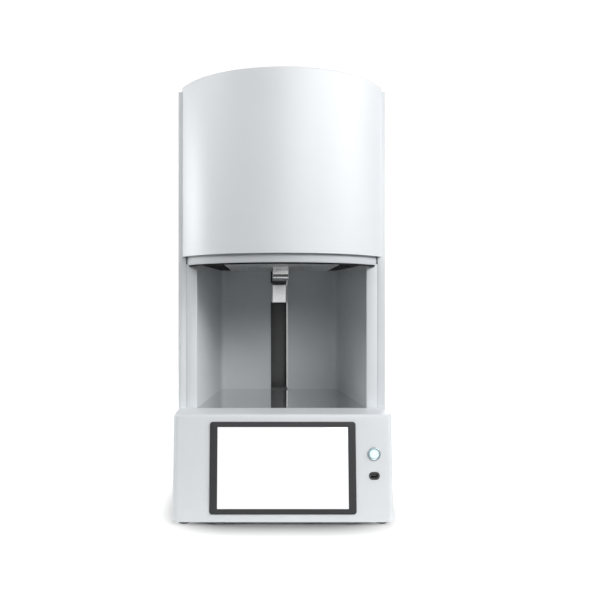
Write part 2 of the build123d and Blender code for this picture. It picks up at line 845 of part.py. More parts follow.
with BuildPart() as guide_rods:
    with BuildSketch(lift_plane.offset(lower_block_bottom)):
        with GridLocations(rod_spread, 0, 2, 1):
            Circle(rod_diameter / 2)
    extrude(amount=column_top - lower_block_bottom)
guide_rods.part.label = "guide_rods"
export_step(guide_rods.part, "parts/guide_rods.step")

with BuildPart() as column_strip:
    with BuildSketch(Plane.XY.offset(lower_block_bottom)):
        with Locations((0, across((strip_front + block_front) / 2))):
            Rectangle(strip_width, strip_thickness)
    extrude(amount=column_top - lower_block_bottom)
column_strip.part.label = "column_strip"
export_step(column_strip.part, "parts/column_strip.step")

motor_bottom = lower_block_bottom - motor_height
motor_end_cap = 10
motor_waist = 0.5        # laminations inside the end caps' outline
motor_corner = 4.2
with BuildPart() as lift_motor:
    with BuildSketch(lift_plane.offset(motor_bottom)):
        RectangleRounded(motor_size, motor_size, motor_corner)
    extrude(amount=motor_height)
    with BuildSketch(lift_plane.offset(motor_bottom + motor_end_cap)):
        RectangleRounded(motor_size, motor_size, motor_corner)
        RectangleRounded(
            motor_size - 2 * motor_waist, motor_size - 2 * motor_waist, motor_corner, mode=Mode.SUBTRACT
        )
    extrude(amount=motor_height - 2 * motor_end_cap, mode=Mode.SUBTRACT)
    with BuildSketch(lift_plane.offset(motor_bottom + motor_end_cap / 2)):
        Circle(screw_diameter / 2 + running_clearance)
    extrude(amount=motor_height, mode=Mode.SUBTRACT)
lift_motor.part.label = "lift_motor"
export_step(lift_motor.part, "parts/lift_motor.step")

screw_bottom = motor_bottom + motor_end_cap / 2 + gap
with BuildPart() as lift_screw:
    with BuildSketch(lift_plane.offset(screw_bottom)):
        Circle(screw_diameter / 2)
    extrude(amount=column_top - gap - screw_bottom)
    chamfer(lift_screw.edges().group_by(Axis.Z)[-1], screw_diameter / 10)
lift_screw.part.label = "lift_screw"
export_step(lift_screw.part, "parts/lift_screw.step")

carriage_plane = lift_plane.offset(carriage_bottom)
lug_width = 5
with BuildPart() as carriage:
    with BuildSketch(carriage_plane):
        Rectangle(carriage_width, carriage_body_depth)
        for side in (-1, 1):
            with Locations((side * (carriage_width - lug_width) / 2, (table_front - lift_setback) / 2)):
                Rectangle(lug_width, lift_setback - table_front)
        with Locations((0, table_front - lift_setback + table_thickness / 2)):
            Rectangle(carriage_width, table_thickness)
        Circle(nut_diameter / 2 + running_clearance, mode=Mode.SUBTRACT)
        with GridLocations(rod_spread, 0, 2, 1):
            Circle(rod_diameter / 2 + running_clearance, mode=Mode.SUBTRACT)
    extrude(amount=carriage_height)
carriage.part.label = "carriage"
export_step(carriage.part, "parts/carriage.step")

with BuildPart() as lift_nut:
    with BuildSketch(carriage_plane):
        Circle(nut_diameter / 2)
    extrude(amount=carriage_height)
    with BuildSketch(carriage_plane):
        Circle(nut_flange_diameter / 2)
    extrude(amount=-nut_flange)
    with BuildSketch(carriage_plane.offset(-nut_flange)):
        Circle(screw_diameter / 2 + running_clearance)
    extrude(amount=carriage_height + nut_flange, mode=Mode.SUBTRACT)
lift_nut.part.label = "lift_nut"
export_step(lift_nut.part, "parts/lift_nut.step")

# Arm: a channel along the ceiling, open below and closed at its front end, welded to a plate
# that is screwed to the carriage
arm_back = table_front
arm_length = arm_back - root_thickness - arm_end
with BuildPart() as lift_arm:
    with BuildSketch(Plane.XZ.offset(-across(arm_end))):
        with Locations((0, ceiling_height - arm_height / 2)):
            Rectangle(arm_width, arm_height)
    extrude(amount=-arm_length)
    with BuildSketch(Plane.XZ.offset(-across(arm_end + arm_wall))):
        with Locations((0, ceiling_height - arm_wall - arm_height / 2)):
            Rectangle(arm_width - 2 * arm_wall, arm_height)
    extrude(amount=-(arm_length - arm_wall), mode=Mode.SUBTRACT)
    with BuildSketch(Plane.XZ.offset(-across(arm_back))):
        with Locations((0, (carriage_bottom + ceiling_height) / 2)):
            Rectangle(arm_width, ceiling_height - carriage_bottom)
    extrude(amount=root_thickness)
lift_arm.part.label = "lift_arm"
export_step(lift_arm.part, "parts/lift_arm.step")

cover_back_y = across(arm_back - root_thickness)
with BuildPart() as arm_root_cover:
    with BuildSketch(Plane.XY.offset(ceiling_height - cover_drop)):
        with Locations((0, cover_back_y - cover_reach / 2)):
            Rectangle(cover_width, cover_reach)
    extrude(amount=cover_height)
    fillet(arm_root_cover.edges().filter_by(Axis.Z).group_by(Axis.Y)[0], cover_corner)
arm_root_cover.part.label = "arm_root_cover"
export_step(arm_root_cover.part, "parts/arm_root_cover.step")

sensor_width = 8
sensor_depth = 14
sensor_height = 22
with BuildPart() as limit_sensors:
    for top in (carriage_bottom + carriage_height, carriage_bottom + carriage_height - lift_travel):
        with BuildSketch(Plane.XY.offset(top - sensor_height)):
            with Locations((column_width / 2 + sensor_width / 2, lift_y)):
                Rectangle(sensor_width, sensor_depth)
        extrude(amount=sensor_height)
limit_sensors.part.label = "limit_sensors"
export_step(limit_sensors.part, "parts/limit_sensors.step")

# ---- electronics in the base ----------------------------------------------------

floor_top = foot_height + pan_sheet
core_width = 120
core_height = 100
core_depth = 50
window_width = 20
window_height = 60
coil_overhang = 18
coil_fill = 0.8          # share of each window that the coil takes
transformer_inset = 90   # transformer's middle from the side of the housing
transformer_x = transformer_inset - half_width
transformer_setback = 150
with BuildPart() as power_transformer:
    core_plane = Plane(
        (transformer_x, across(transformer_setback), floor_top), x_dir=(1, 0, 0), z_dir=(0, -1, 0)
    )
    with BuildSketch(core_plane):
        with Locations((0, core_height / 2)):
            Rectangle(core_width, core_height)
            with GridLocations(core_width / 2, 0, 2, 1):
                Rectangle(window_width, window_height, mode=Mode.SUBTRACT)
    extrude(amount=core_depth / 2, both=True)
    leg_half = core_width / 4 - window_width / 2
    with BuildSketch(Plane((transformer_x, across(transformer_setback), floor_top + core_height / 2))):
        Rectangle(2 * (leg_half + coil_fill * window_width), core_depth + 2 * coil_overhang)
        Rectangle(2 * leg_half, core_depth, mode=Mode.SUBTRACT)
    extrude(amount=window_height / 2 - gap, both=True)
power_transformer.part.label = "power_transformer"
export_step(power_transformer.part, "parts/power_transformer.step")

sink_inset = 85          # heat sink's middle from the side of the housing
sink_x = half_width - sink_inset
sink_setback = 125
sink_width = 130
sink_length = 120
sink_base = 8
fin_height = 26
fin_thickness = 2.5
fin_count = 11
with BuildPart() as heat_sink:
    with BuildSketch(Plane((sink_x, across(sink_setback), floor_top))):
        with GridLocations((sink_width - fin_thickness) / (fin_count - 1), 0, fin_count, 1):
            Rectangle(fin_thickness, sink_length)
    extrude(amount=fin_height)
    with BuildSketch(Plane((sink_x, across(sink_setback), floor_top + fin_height))):
        Rectangle(sink_width, sink_length)
    extrude(amount=sink_base)
heat_sink.part.label = "heat_sink"
export_step(heat_sink.part, "parts/heat_sink.step")

controller_width = 58
controller_length = 92
controller_height = 34
terminal_length = 9
terminal_spread = 74
terminal_depth = 11
with BuildPart() as power_controller:
    with BuildSketch(Plane((sink_x, across(sink_setback), floor_top + fin_height + sink_base))):
        Rectangle(controller_width, controller_length)
    extrude(amount=controller_height)
    with BuildSketch(power_controller.faces().sort_by(Axis.Z)[-1]):
        with GridLocations(0, terminal_spread, 1, 2):
            Rectangle(controller_width - 2 * sheet, terminal_length)
    extrude(amount=-terminal_depth, mode=Mode.SUBTRACT)
power_controller.part.label = "power_controller"
export_step(power_controller.part, "parts/power_controller.step")

supply_width = 100
supply_gap = 10          # between the lift column and the supply unit
supply_x = column_width / 2 + supply_gap + supply_width / 2
supply_length = 98
supply_height = 42
supply_setback = 255
grille_slots = 6
grille_pitch = 12.5
grille_length = 68
grille_width = 4
with BuildPart() as supply_unit:
    with BuildSketch(Plane((supply_x, across(supply_setback), floor_top))):
        Rectangle(supply_width, supply_length)
    extrude(amount=supply_height)
    with BuildSketch(supply_unit.faces().sort_by(Axis.Z)[-1]):
        with GridLocations(grille_pitch, 0, grille_slots, 1):
            SlotOverall(grille_length, grille_width, rotation=90)
    extrude(amount=-sheet, mode=Mode.SUBTRACT)
supply_unit.part.label = "supply_unit"
export_step(supply_unit.part, "parts/supply_unit.step")

# ---- rear panel and what is on it -----------------------------------------------


def from_behind(x, z, stand=0):
    """Plane on the back of the rear panel, seen from behind, raised off it by stand."""
    return Plane((x, tower_back + stand, z), x_dir=(-1, 0, 0), z_dir=(0, 1, 0))


base_fan_x = base_fan_inset - half_width
head_fan_z = side_top - head_fan_drop
fan_places = ((base_fan_x, base_fan_z), (0, head_fan_z))
breaker_x = column_width / 2 + breaker_gap + breaker_width / 2
inlet_x = breaker_x + inlet_offset
screw_hole = 3.2
panel_low = floor_top + gap
panel_high = side_top - gap
vent_slot_length = 70
vent_slot_height = 4
vent_rows = 6
vent_pitch = 10
base_vent_z = 132
vent_places = ((-base_fan_x, base_vent_z), (base_fan_x, head_fan_z), (-base_fan_x, head_fan_z))
screw_rows = 5
screw_x = half_width - panel_return / 2
screw_pitch = (panel_high - panel_low - 2 * panel_return) / (screw_rows - 1)
inlet_flange = 3
inlet_body_margin = 2
flange_corner = 2
with BuildPart() as rear_panel:
    with BuildSketch(from_behind(0, (panel_low + panel_high) / 2)):
        Rectangle(housing_width, panel_high - panel_low)
        with GridLocations(2 * screw_x, screw_pitch, 2, screw_rows):
            Circle(screw_hole / 2, mode=Mode.SUBTRACT)
    extrude(amount=-rear_sheet)
    for fan_x, fan_z in fan_places:
        with BuildSketch(from_behind(fan_x, fan_z)):
            Circle(fan_bore / 2)
            with GridLocations(fan_screw_spread, fan_screw_spread, 2, 2):
                Circle(screw_hole / 2)
        extrude(amount=-rear_sheet, mode=Mode.SUBTRACT)
    for vent_x, vent_z in vent_places:
        with BuildSketch(from_behind(vent_x, vent_z)):
            with GridLocations(0, vent_pitch, 1, vent_rows):
                SlotOverall(vent_slot_length, vent_slot_height)
        extrude(amount=-rear_sheet, mode=Mode.SUBTRACT)
    with BuildSketch(from_behind(inlet_x, inlet_z)):
        Rectangle(inlet_width - 2 * inlet_body_margin, inlet_height - 2 * inlet_body_margin)
    extrude(amount=-rear_sheet, mode=Mode.SUBTRACT)
    with BuildSketch(from_behind(breaker_x, inlet_z)):
        Rectangle(breaker_width - 2 * inlet_body_margin, breaker_height - 2 * inlet_body_margin)
    extrude(amount=-rear_sheet, mode=Mode.SUBTRACT)
rear_panel.part.label = "rear_panel"
export_step(rear_panel.part, "parts/rear_panel.step")

screw_head = 6
screw_head_height = 2
with BuildPart() as rear_screws:
    with BuildSketch(from_behind(0, (panel_low + panel_high) / 2)):
        with GridLocations(2 * screw_x, screw_pitch, 2, screw_rows):
            Circle(screw_head / 2)
    extrude(amount=screw_head_height)
    fillet(rear_screws.edges().group_by(Axis.Y)[-1], screw_head_height / 2)
    with BuildSketch(from_behind(0, (panel_low + panel_high) / 2)):
        with GridLocations(2 * screw_x, screw_pitch, 2, screw_rows):
            Circle(screw_hole / 2 - gap / 2)
    extrude(amount=-rear_sheet)
rear_screws.part.label = "rear_screws"
export_step(rear_screws.part, "parts/rear_screws.step")

strut_depth = 3
strut_width = 5
strut_count = 3
fan_shaft = 3
strut_root = 1           # strut's end in the frame's ring, and blade's root in the hub
with BuildPart() as fan_frames:
    for fan_x, fan_z in fan_places:
        fan_front = from_behind(fan_x, fan_z, -rear_sheet - fan_depth)
        with BuildSketch(fan_front):
            RectangleRounded(fan_size, fan_size, fan_corner)
            Circle(fan_bore / 2, mode=Mode.SUBTRACT)
            with GridLocations(fan_screw_spread, fan_screw_spread, 2, 2):
                Circle(screw_hole / 2, mode=Mode.SUBTRACT)
        extrude(amount=fan_depth)
        with BuildSketch(fan_front):
            Circle(fan_hub / 2)
            with PolarLocations(fan_bore / 4 + strut_root, strut_count):
                Rectangle(fan_bore / 2 + strut_root, strut_width)
            Circle(fan_shaft / 2 + running_clearance, mode=Mode.SUBTRACT)
        extrude(amount=strut_depth)
fan_frames.part.label = "fan_frames"
export_step(fan_frames.part, "parts/fan_frames.step")

rotor_gap = 0.5
rotor_depth = fan_depth - strut_depth - 2 * rotor_gap
blade_length = fan_bore / 2 - fan_tip_gap - fan_hub / 2 + strut_root
blade_thickness = 1.6
blade_chord = 12
blade_pitch = 48
for name, (fan_x, fan_z) in zip(("base_fan_rotor", "head_fan_rotor"), fan_places):
    rotor_start = from_behind(fan_x, fan_z, -rear_sheet - rotor_gap - rotor_depth)
    with BuildPart(rotor_start.offset(rotor_depth / 2)) as fan_rotor:
        with PolarLocations(fan_hub / 2 - strut_root + blade_length / 2, fan_blades):
            Box(blade_length, blade_chord, blade_thickness, rotation=(blade_pitch, 0, 0))
        with BuildSketch(rotor_start):
            Circle(fan_hub / 2)
        extrude(amount=rotor_depth)
        with BuildSketch(rotor_start):
            Circle(fan_shaft / 2)
        extrude(amount=-(strut_depth + rotor_gap - gap))
    fan_rotor.part.label = name
    export_step(fan_rotor.part, f"parts/{name}.step")

guard_wire = 2
guard_rings = (fan_bore / 2, fan_bore / 3, fan_bore / 6)
with BuildPart() as fan_guards:
    for fan_x, fan_z in fan_places:
        with BuildSketch(from_behind(fan_x, fan_z, guard_height - guard_wire)):
            for radius in guard_rings:
                Circle(radius)
                Circle(radius - guard_wire, mode=Mode.SUBTRACT)
            for turn in (45, 135):
                Rectangle(fan_screw_spread * sqrt(2), guard_wire, rotation=turn)
            with GridLocations(fan_screw_spread, fan_screw_spread, 2, 2):
                Circle(screw_head / 2)
        extrude(amount=guard_wire)
        with BuildSketch(from_behind(fan_x, fan_z)):
            with GridLocations(fan_screw_spread, fan_screw_spread, 2, 2):
                Circle(screw_head / 2)
        extrude(amount=guard_height - guard_wire)
fan_guards.part.label = "fan_guards"
export_step(fan_guards.part, "parts/fan_guards.step")

# Mains inlet: three flat pins set back in a socket
inlet_body_depth = 24
socket_width = 24
socket_height = 16
socket_depth = 21
pin_length = 14
pin_spread = 14
pin_rise = 4
pin_thickness = 2
pin_width = 4
with BuildPart() as mains_inlet:
    with BuildSketch(from_behind(inlet_x, inlet_z)):
        RectangleRounded(inlet_width, inlet_height, flange_corner)
    extrude(amount=inlet_flange)
    with BuildSketch(from_behind(inlet_x, inlet_z)):
        Rectangle(
            inlet_width - 2 * inlet_body_margin - gap, inlet_height - 2 * inlet_body_margin - gap
        )
    extrude(amount=-inlet_body_depth)
    with BuildSketch(from_behind(inlet_x, inlet_z, inlet_flange)) as socket_mouth:
        Rectangle(socket_width, socket_height)
        chamfer(socket_mouth.vertices().group_by(Axis.Z)[-1], socket_height / 4)
    extrude(amount=-socket_depth, mode=Mode.SUBTRACT)
    with BuildSketch(from_behind(inlet_x, inlet_z, inlet_flange - socket_depth)):
        with Locations((-pin_spread / 2, -pin_rise / 2), (pin_spread / 2, -pin_rise / 2), (0, pin_rise / 2)):
            Rectangle(pin_thickness, pin_width)
    extrude(amount=pin_length)
mains_inlet.part.label = "mains_inlet"
export_step(mains_inlet.part, "parts/mains_inlet.step")

breaker_flange = 2.5
breaker_depth = 30
pivot_diameter = 3
pivot_stand = -1         # rocker's pivot from the panel's back face
rocker_width = 15
rocker_half = 12
rocker_end = 5
rocker_dip = 4
rocker_root = 6
rocker_clearance = 0.3
rocker_room = 2          # behind the rocker, in the breaker's cavity
pin_cover = 1            # breaker's wall beyond each end of the rocker's pin
rocker_radius = sqrt(rocker_half**2 + rocker_end**2)
pivot_plane = Plane((breaker_x, tower_back + pivot_stand, inlet_z), x_dir=(0, 1, 0), z_dir=(1, 0, 0))
cavity_half = rocker_radius + rocker_clearance
with BuildPart() as breaker_body:
    with BuildSketch(from_behind(breaker_x, inlet_z)):
        RectangleRounded(breaker_width, breaker_height, flange_corner)
    extrude(amount=breaker_flange)
    with BuildSketch(from_behind(breaker_x, inlet_z)):
        Rectangle(
            breaker_width - 2 * inlet_body_margin - gap, breaker_height - 2 * inlet_body_margin - gap
        )
    extrude(amount=-breaker_depth)
    with BuildSketch(pivot_plane):
        Rectangle(2 * (rocker_root + rocker_room), 2 * cavity_half)
        with Locations((rocker_radius / 2, 0)):
            Rectangle(rocker_radius, 2 * cavity_half)
    extrude(amount=rocker_width / 2 + rocker_clearance, both=True, mode=Mode.SUBTRACT)
    with BuildSketch(pivot_plane):
        Circle(pivot_diameter / 2 + running_clearance)
    extrude(amount=breaker_width / 2 - inlet_body_margin - pin_cover, both=True, mode=Mode.SUBTRACT)
breaker_body.part.label = "breaker_body"
export_step(breaker_body.part, "parts/breaker_body.step")

with BuildPart() as breaker_rocker:
    tilt = radians(rocker_swing / 2)
    with BuildSketch(Plane(pivot_plane.origin, x_dir=(0, cos(tilt), sin(tilt)), z_dir=(1, 0, 0))):
        with BuildLine():
            Polyline(
                (rocker_end, -rocker_half), (rocker_dip, 0), (rocker_end, rocker_half),
                (-rocker_root, rocker_half / 2), (-rocker_root, -rocker_half / 2), close=True,
            )
        make_face()
    extrude(amount=rocker_width / 2, both=True)
    with BuildSketch(pivot_plane):
        Circle(pivot_diameter / 2)
    extrude(amount=breaker_width / 2 - inlet_body_margin - pin_cover - gap, both=True)
breaker_rocker.part.label = "breaker_rocker"
export_step(breaker_rocker.part, "parts/breaker_rocker.step")
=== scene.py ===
import math

import bmesh
import bpy
from mathutils import Matrix, Vector


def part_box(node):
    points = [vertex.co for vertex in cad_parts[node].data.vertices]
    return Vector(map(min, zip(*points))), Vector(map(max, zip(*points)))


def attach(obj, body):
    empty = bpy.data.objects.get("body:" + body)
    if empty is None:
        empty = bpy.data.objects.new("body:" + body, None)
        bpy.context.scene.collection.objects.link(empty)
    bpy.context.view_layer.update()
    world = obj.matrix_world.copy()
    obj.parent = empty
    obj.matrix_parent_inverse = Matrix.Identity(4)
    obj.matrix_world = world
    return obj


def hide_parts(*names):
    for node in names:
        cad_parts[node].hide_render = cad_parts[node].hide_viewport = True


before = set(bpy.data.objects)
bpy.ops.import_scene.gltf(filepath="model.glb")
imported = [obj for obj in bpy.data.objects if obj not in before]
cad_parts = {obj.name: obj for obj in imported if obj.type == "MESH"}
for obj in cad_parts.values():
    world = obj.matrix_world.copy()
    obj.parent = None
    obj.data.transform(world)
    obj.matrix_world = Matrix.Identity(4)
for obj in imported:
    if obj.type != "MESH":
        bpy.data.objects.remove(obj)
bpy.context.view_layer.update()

# ---- bench, light and camera -----------------------------------------------------
# A pale seamless bench top with a backdrop, a broad key light from the right of the
# furnace, softer ones at its left and one behind. The camera stands level, a little left
# of centre.

TOWER_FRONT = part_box("left_side_panel")[0][1]
CAMERA_REACH = 1.200          # in front of the tower's front plane
CAMERA_X = -0.0265
CAMERA_HEIGHT = 0.375
CAMERA_LENS = 40.26
CAMERA_SHIFT = 0.055
SENSOR = 36.0
FILL_LIGHT = 0.05
# Painted shade: nearer the furnace than this the bench has no glow, so it stays grey round the base in the
# shape of its plan.
PAINTED_SHADE_REACH = 0.215          # bench starts to glow this far from the furnace's middle
WHITE_REACH = 0.290           # and is white from here on
PAINTED_SHADE_SHAPE = (1.25, 1.0, 1.0)   # the furnace is this much slimmer than deep
BOUNCE_REACH = 0.40           # it throws less light back beyond this
GLOSS_WHITE = 0.9
LAMP_REACH = 2.4              # from the middle of the furnace
LAMP_HEIGHT = 0.4

scene = bpy.context.scene
scene.view_settings.view_transform = "Standard"


def link(obj):
    """Put a new object into the scene's collection."""
    scene.collection.objects.link(obj)
    return obj


def nodes_of(name):
    """A new material with its node tree, its links and its shader."""
    material = bpy.data.materials.new(name)
    material.use_nodes = True
    tree = material.node_tree
    return material, tree.nodes, tree.links, tree.nodes["Principled BSDF"]


def ranged(nodes, links, value, start, end, first, last):
    """The value's run from start to end, turned into one from first to last."""
    step = nodes.new("ShaderNodeMapRange")
    for socket, number in zip(("From Min", "From Max", "To Min", "To Max"), (start, end, first, last)):
        step.inputs[socket].default_value = number
    links.new(value, step.inputs["Value"])
    return step.outputs["Result"]


def seen_first(nodes, links, ray, others, these):
    """Shader output that is one thing where this kind of ray comes straight from the camera."""
    path = nodes.new("ShaderNodeLightPath")
    straight = nodes.new("ShaderNodeMath")
    straight.operation = "LESS_THAN"
    straight.inputs[1].default_value = 0.5
    links.new(path.outputs["Diffuse Depth"], straight.inputs[0])
    both = nodes.new("ShaderNodeMath")
    both.operation = "MULTIPLY"
    links.new(straight.outputs["Value"], both.inputs[0])
    links.new(path.outputs[ray], both.inputs[1])
    choose = nodes.new("ShaderNodeMixShader")
    links.new(both.outputs["Value"], choose.inputs["Fac"])
    links.new(others, choose.inputs[1])
    links.new(these, choose.inputs[2])
    return choose.outputs["Shader"]


def bench_material():
    """Matt bench top, white to the camera and in gloss, with painted shade in a grey zone round the
    furnace's plan, in which its cast shadow also shows.
    """
    material, nodes, links, shader = nodes_of("bench_top")
    shader.inputs["Roughness"].default_value = 0.9
    shader.inputs["Specular IOR Level"].default_value = 0.1
    grain = nodes.new("ShaderNodeTexNoise")
    grain.inputs["Scale"].default_value = 6.0
    tone = nodes.new("ShaderNodeValToRGB")
    tone.color_ramp.elements[0].color = (0.38, 0.38, 0.38, 1)
    tone.color_ramp.elements[1].color = (0.40, 0.40, 0.40, 1)
    links.new(grain.outputs["Fac"], tone.inputs["Fac"])
    links.new(tone.outputs["Color"], shader.inputs["Base Color"])
    # Painted shade: the glow fades out in a rounded square like the furnace's plan, so the bench near it
    # stays grey even where it is lit.
    place = nodes.new("ShaderNodeNewGeometry")
    slim = nodes.new("ShaderNodeVectorMath")
    slim.operation = "MULTIPLY"
    slim.inputs[1].default_value = PAINTED_SHADE_SHAPE
    links.new(place.outputs["Position"], slim.inputs[0])
    square = nodes.new("ShaderNodeVectorMath")
    square.operation = "MULTIPLY"
    for socket in (0, 1):
        links.new(slim.outputs["Vector"], square.inputs[socket])
    reach = nodes.new("ShaderNodeVectorMath")
    reach.operation = "LENGTH"
    links.new(square.outputs["Vector"], reach.inputs[0])
    root = nodes.new("ShaderNodeMath")
    root.operation = "SQRT"
    links.new(reach.outputs["Value"], root.inputs[0])
    distance = root.outputs["Value"]
    glow = nodes.new("ShaderNodeEmission")
    links.new(
        ranged(nodes, links, distance, PAINTED_SHADE_REACH, WHITE_REACH, 0.0, 1.0), glow.inputs["Strength"]
    )
    lit = nodes.new("ShaderNodeAddShader")
    links.new(shader.outputs["BSDF"], lit.inputs[0])
    links.new(glow.outputs["Emission"], lit.inputs[1])
    bounce = nodes.new("ShaderNodeBsdfDiffuse")
    links.new(
        ranged(nodes, links, distance, BOUNCE_REACH, 1.6 * BOUNCE_REACH, 0.85, 0.18),
        bounce.inputs["Color"],
    )
    white = nodes.new("ShaderNodeEmission")
    white.inputs["Strength"].default_value = GLOSS_WHITE
    unseen = seen_first(nodes, links, "Is Glossy Ray", bounce.outputs["BSDF"], white.outputs["Emission"])
    seen = seen_first(nodes, links, "Is Camera Ray", unseen, lit.outputs["Shader"])
    links.new(seen, nodes["Material Output"].inputs["Surface"])
    return material


def bench():
    """Bench top that sweeps up into a backdrop far behind the furnace."""
    half = 6.0
    sweep_start = 2.5
    sweep_radius = 1.5
    wall_top = 4.0
    profile = [(-half, 0.0), (sweep_start, 0.0)]
    for step in range(1, 13):
        turn = math.radians(90 * step / 12)
        profile.append(
            (sweep_start + sweep_radius * math.sin(turn), sweep_radius * (1 - math.cos(turn)))
        )
    profile.append((sweep_start + sweep_radius, wall_top))
    bm = bmesh.new()
    rows = [[bm.verts.new((x, y, z)) for x in (-half, half)] for y, z in profile]
    for low, high in zip(rows, rows[1:]):
        bm.faces.new((low[0], low[1], high[1], high[0]))
    mesh = bpy.data.meshes.new("bench_top")
    bm.to_mesh(mesh)
    bm.free()
    mesh.shade_smooth()
    obj = link(bpy.data.objects.new("bench_top", mesh))
    obj.data.materials.append(bench_material())


def lamp(name, bearing, rise, power, width=1.1, height=0.7):
    """A softbox turned to the furnace, at a bearing from its front and a rise above level, in degrees."""
    data = bpy.data.lights.new(name, "AREA")
    data.shape = "RECTANGLE"
    data.size = width
    data.size_y = height
    data.energy = power
    obj = link(bpy.data.objects.new(name, data))
    target = Vector((0, 0, LAMP_HEIGHT))
    turn = math.radians(bearing)
    lift = math.radians(rise)
    away = Vector((math.sin(turn) * math.cos(lift), -math.cos(turn) * math.cos(lift), math.sin(lift)))
    obj.location = target + away * LAMP_REACH
    obj.rotation_euler = (-away).to_track_quat("-Z", "Y").to_euler()


def daylight():
    """Even white surroundings: full white for the camera and in gloss, and faint as fill light."""
    world = bpy.data.worlds.new("studio")
    scene.world = world
    world.use_nodes = True
    nodes = world.node_tree.nodes
    links = world.node_tree.links
    fill = nodes["Background"]
    fill.inputs["Color"].default_value = (1.0, 1.0, 1.0, 1)
    fill.inputs["Strength"].default_value = FILL_LIGHT
    white = nodes.new("ShaderNodeBackground")
    white.inputs["Color"].default_value = (1.0, 1.0, 1.0, 1)
    white.inputs["Strength"].default_value = 1.0
    faint = fill.outputs["Background"]
    full = white.outputs["Background"]
    glossy = seen_first(nodes, links, "Is Glossy Ray", faint, full)
    seen = seen_first(nodes, links, "Is Camera Ray", glossy, full)
    links.new(seen, nodes["World Output"].inputs["Surface"])


def camera():
    """Level camera in front of the furnace, shifted as in the photograph's framing."""
    data = bpy.data.cameras.new("camera")
    data.lens = CAMERA_LENS
    data.sensor_width = SENSOR
    data.shift_x = CAMERA_SHIFT
    data.clip_end = 50
    obj = link(bpy.data.objects.new("camera", data))
    obj.location = (CAMERA_X, TOWER_FRONT - CAMERA_REACH, CAMERA_HEIGHT)
    obj.rotation_euler = (math.radians(90), 0, 0)
    scene.camera = obj


bench()
daylight()
camera()
lamp("left_rim", -100, 11, 25)
lamp("left_side", -70, 28, 12.6)
lamp("front_left", -40, 22, 3.2)
lamp("front_right", 15, 20, 14.8)
lamp("key", 40, 26, 19)
lamp("right_side", 70, 22, 21)
lamp("back", 165, 28, 30)

# ---- head cover ------------------------------------------------------------------
# Bowed cover of the furnace head, pressed from 2 mm steel and powder coated satin white.
# Its lower edge is turned in, and its flat top, with an opening for hot air, is one piece
# with it. It hooks over the side panels and is screwed from behind.

COVER_LOW, COVER_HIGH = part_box("head_cover")
COVER_HALF = COVER_HIGH[0]
COVER_FRONT = COVER_LOW[1]
COVER_BOTTOM = COVER_LOW[2]
COVER_TOP = COVER_HIGH[2]
COVER_BACK = COVER_HIGH[1]
RIM_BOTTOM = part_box("left_side_panel")[1][2]
COVER_SHEET = 0.002
COVER_ROUNDING = 0.003
BOW_STEPS = 96


def powder_coat(name, colour, roughness=0.42, grain=0.06, gloss_level=0.5):
    """Satin powder coat: a faint orange peel, and a little unevenness in tone and gloss."""
    material, nodes, links, shader = nodes_of(name)
    place = nodes.new("ShaderNodeTexCoord")
    cloud = nodes.new("ShaderNodeTexNoise")
    cloud.inputs["Scale"].default_value = 9.0
    cloud.inputs["Detail"].default_value = 3.0
    links.new(place.outputs["Object"], cloud.inputs["Vector"])
    tone = nodes.new("ShaderNodeValToRGB")
    tone.color_ramp.elements[0].position = 0.3
    tone.color_ramp.elements[0].color = (*[part * 0.975 for part in colour], 1)
    tone.color_ramp.elements[1].position = 0.7
    tone.color_ramp.elements[1].color = (*colour, 1)
    links.new(cloud.outputs["Fac"], tone.inputs["Fac"])
    links.new(tone.outputs["Color"], shader.inputs["Base Color"])
    shader.inputs["Specular IOR Level"].default_value = gloss_level
    gloss = nodes.new("ShaderNodeMapRange")
    gloss.inputs["To Min"].default_value = roughness - 0.04
    gloss.inputs["To Max"].default_value = roughness + 0.04
    links.new(cloud.outputs["Fac"], gloss.inputs["Value"])
    links.new(gloss.outputs["Result"], shader.inputs["Roughness"])
    peel = nodes.new("ShaderNodeTexNoise")
    peel.inputs["Scale"].default_value = 900.0
    peel.inputs["Detail"].default_value = 2.0
    links.new(place.outputs["Object"], peel.inputs["Vector"])
    bump = nodes.new("ShaderNodeBump")
    bump.inputs["Strength"].default_value = grain
    bump.inputs["Distance"].default_value = 0.0002
    links.new(peel.outputs["Fac"], bump.inputs["Height"])
    links.new(bump.outputs["Normal"], shader.inputs["Normal"])
    return material


white_coat = powder_coat("white_powder_coat", (0.785, 0.815, 0.838))


def bow(inset, steps=BOW_STEPS):
    """Points of the head's bowed front, left end to right end, this far inside the skin."""
    reach = TOWER_FRONT - COVER_FRONT
    radius = (COVER_HALF**2 + reach**2) / (2 * reach)
    centre = COVER_FRONT + radius
    inner = radius - inset
    half_angle = math.acos((centre - TOWER_FRONT) / inner)
    turns = [half_angle * (2 * step / steps - 1) for step in range(steps + 1)]
    return [(inner * math.sin(turn), centre - inner * math.cos(turn)) for turn in turns]


def add_row(bm, points, z):
    """A row of new vertices at height z."""
    return [bm.verts.new((x, y, z)) for x, y in points]


def join_rows(bm, low, high, closed=False):
    """Faces between two rows with as many vertices each."""
    count = len(low)
    for i in range(count if closed else count - 1):
        j = (i + 1) % count
        bm.faces.new((low[i], low[j], high[j], high[i]))


def finished(obj, applied=True):
    """The object with its modifiers made real."""
    if applied:
        bpy.context.view_layer.update()
        graph = bpy.context.evaluated_depsgraph_get()
        mesh = bpy.data.meshes.new_from_object(obj.evaluated_get(graph))
        obj.modifiers.clear()
        obj.data = mesh
    return obj


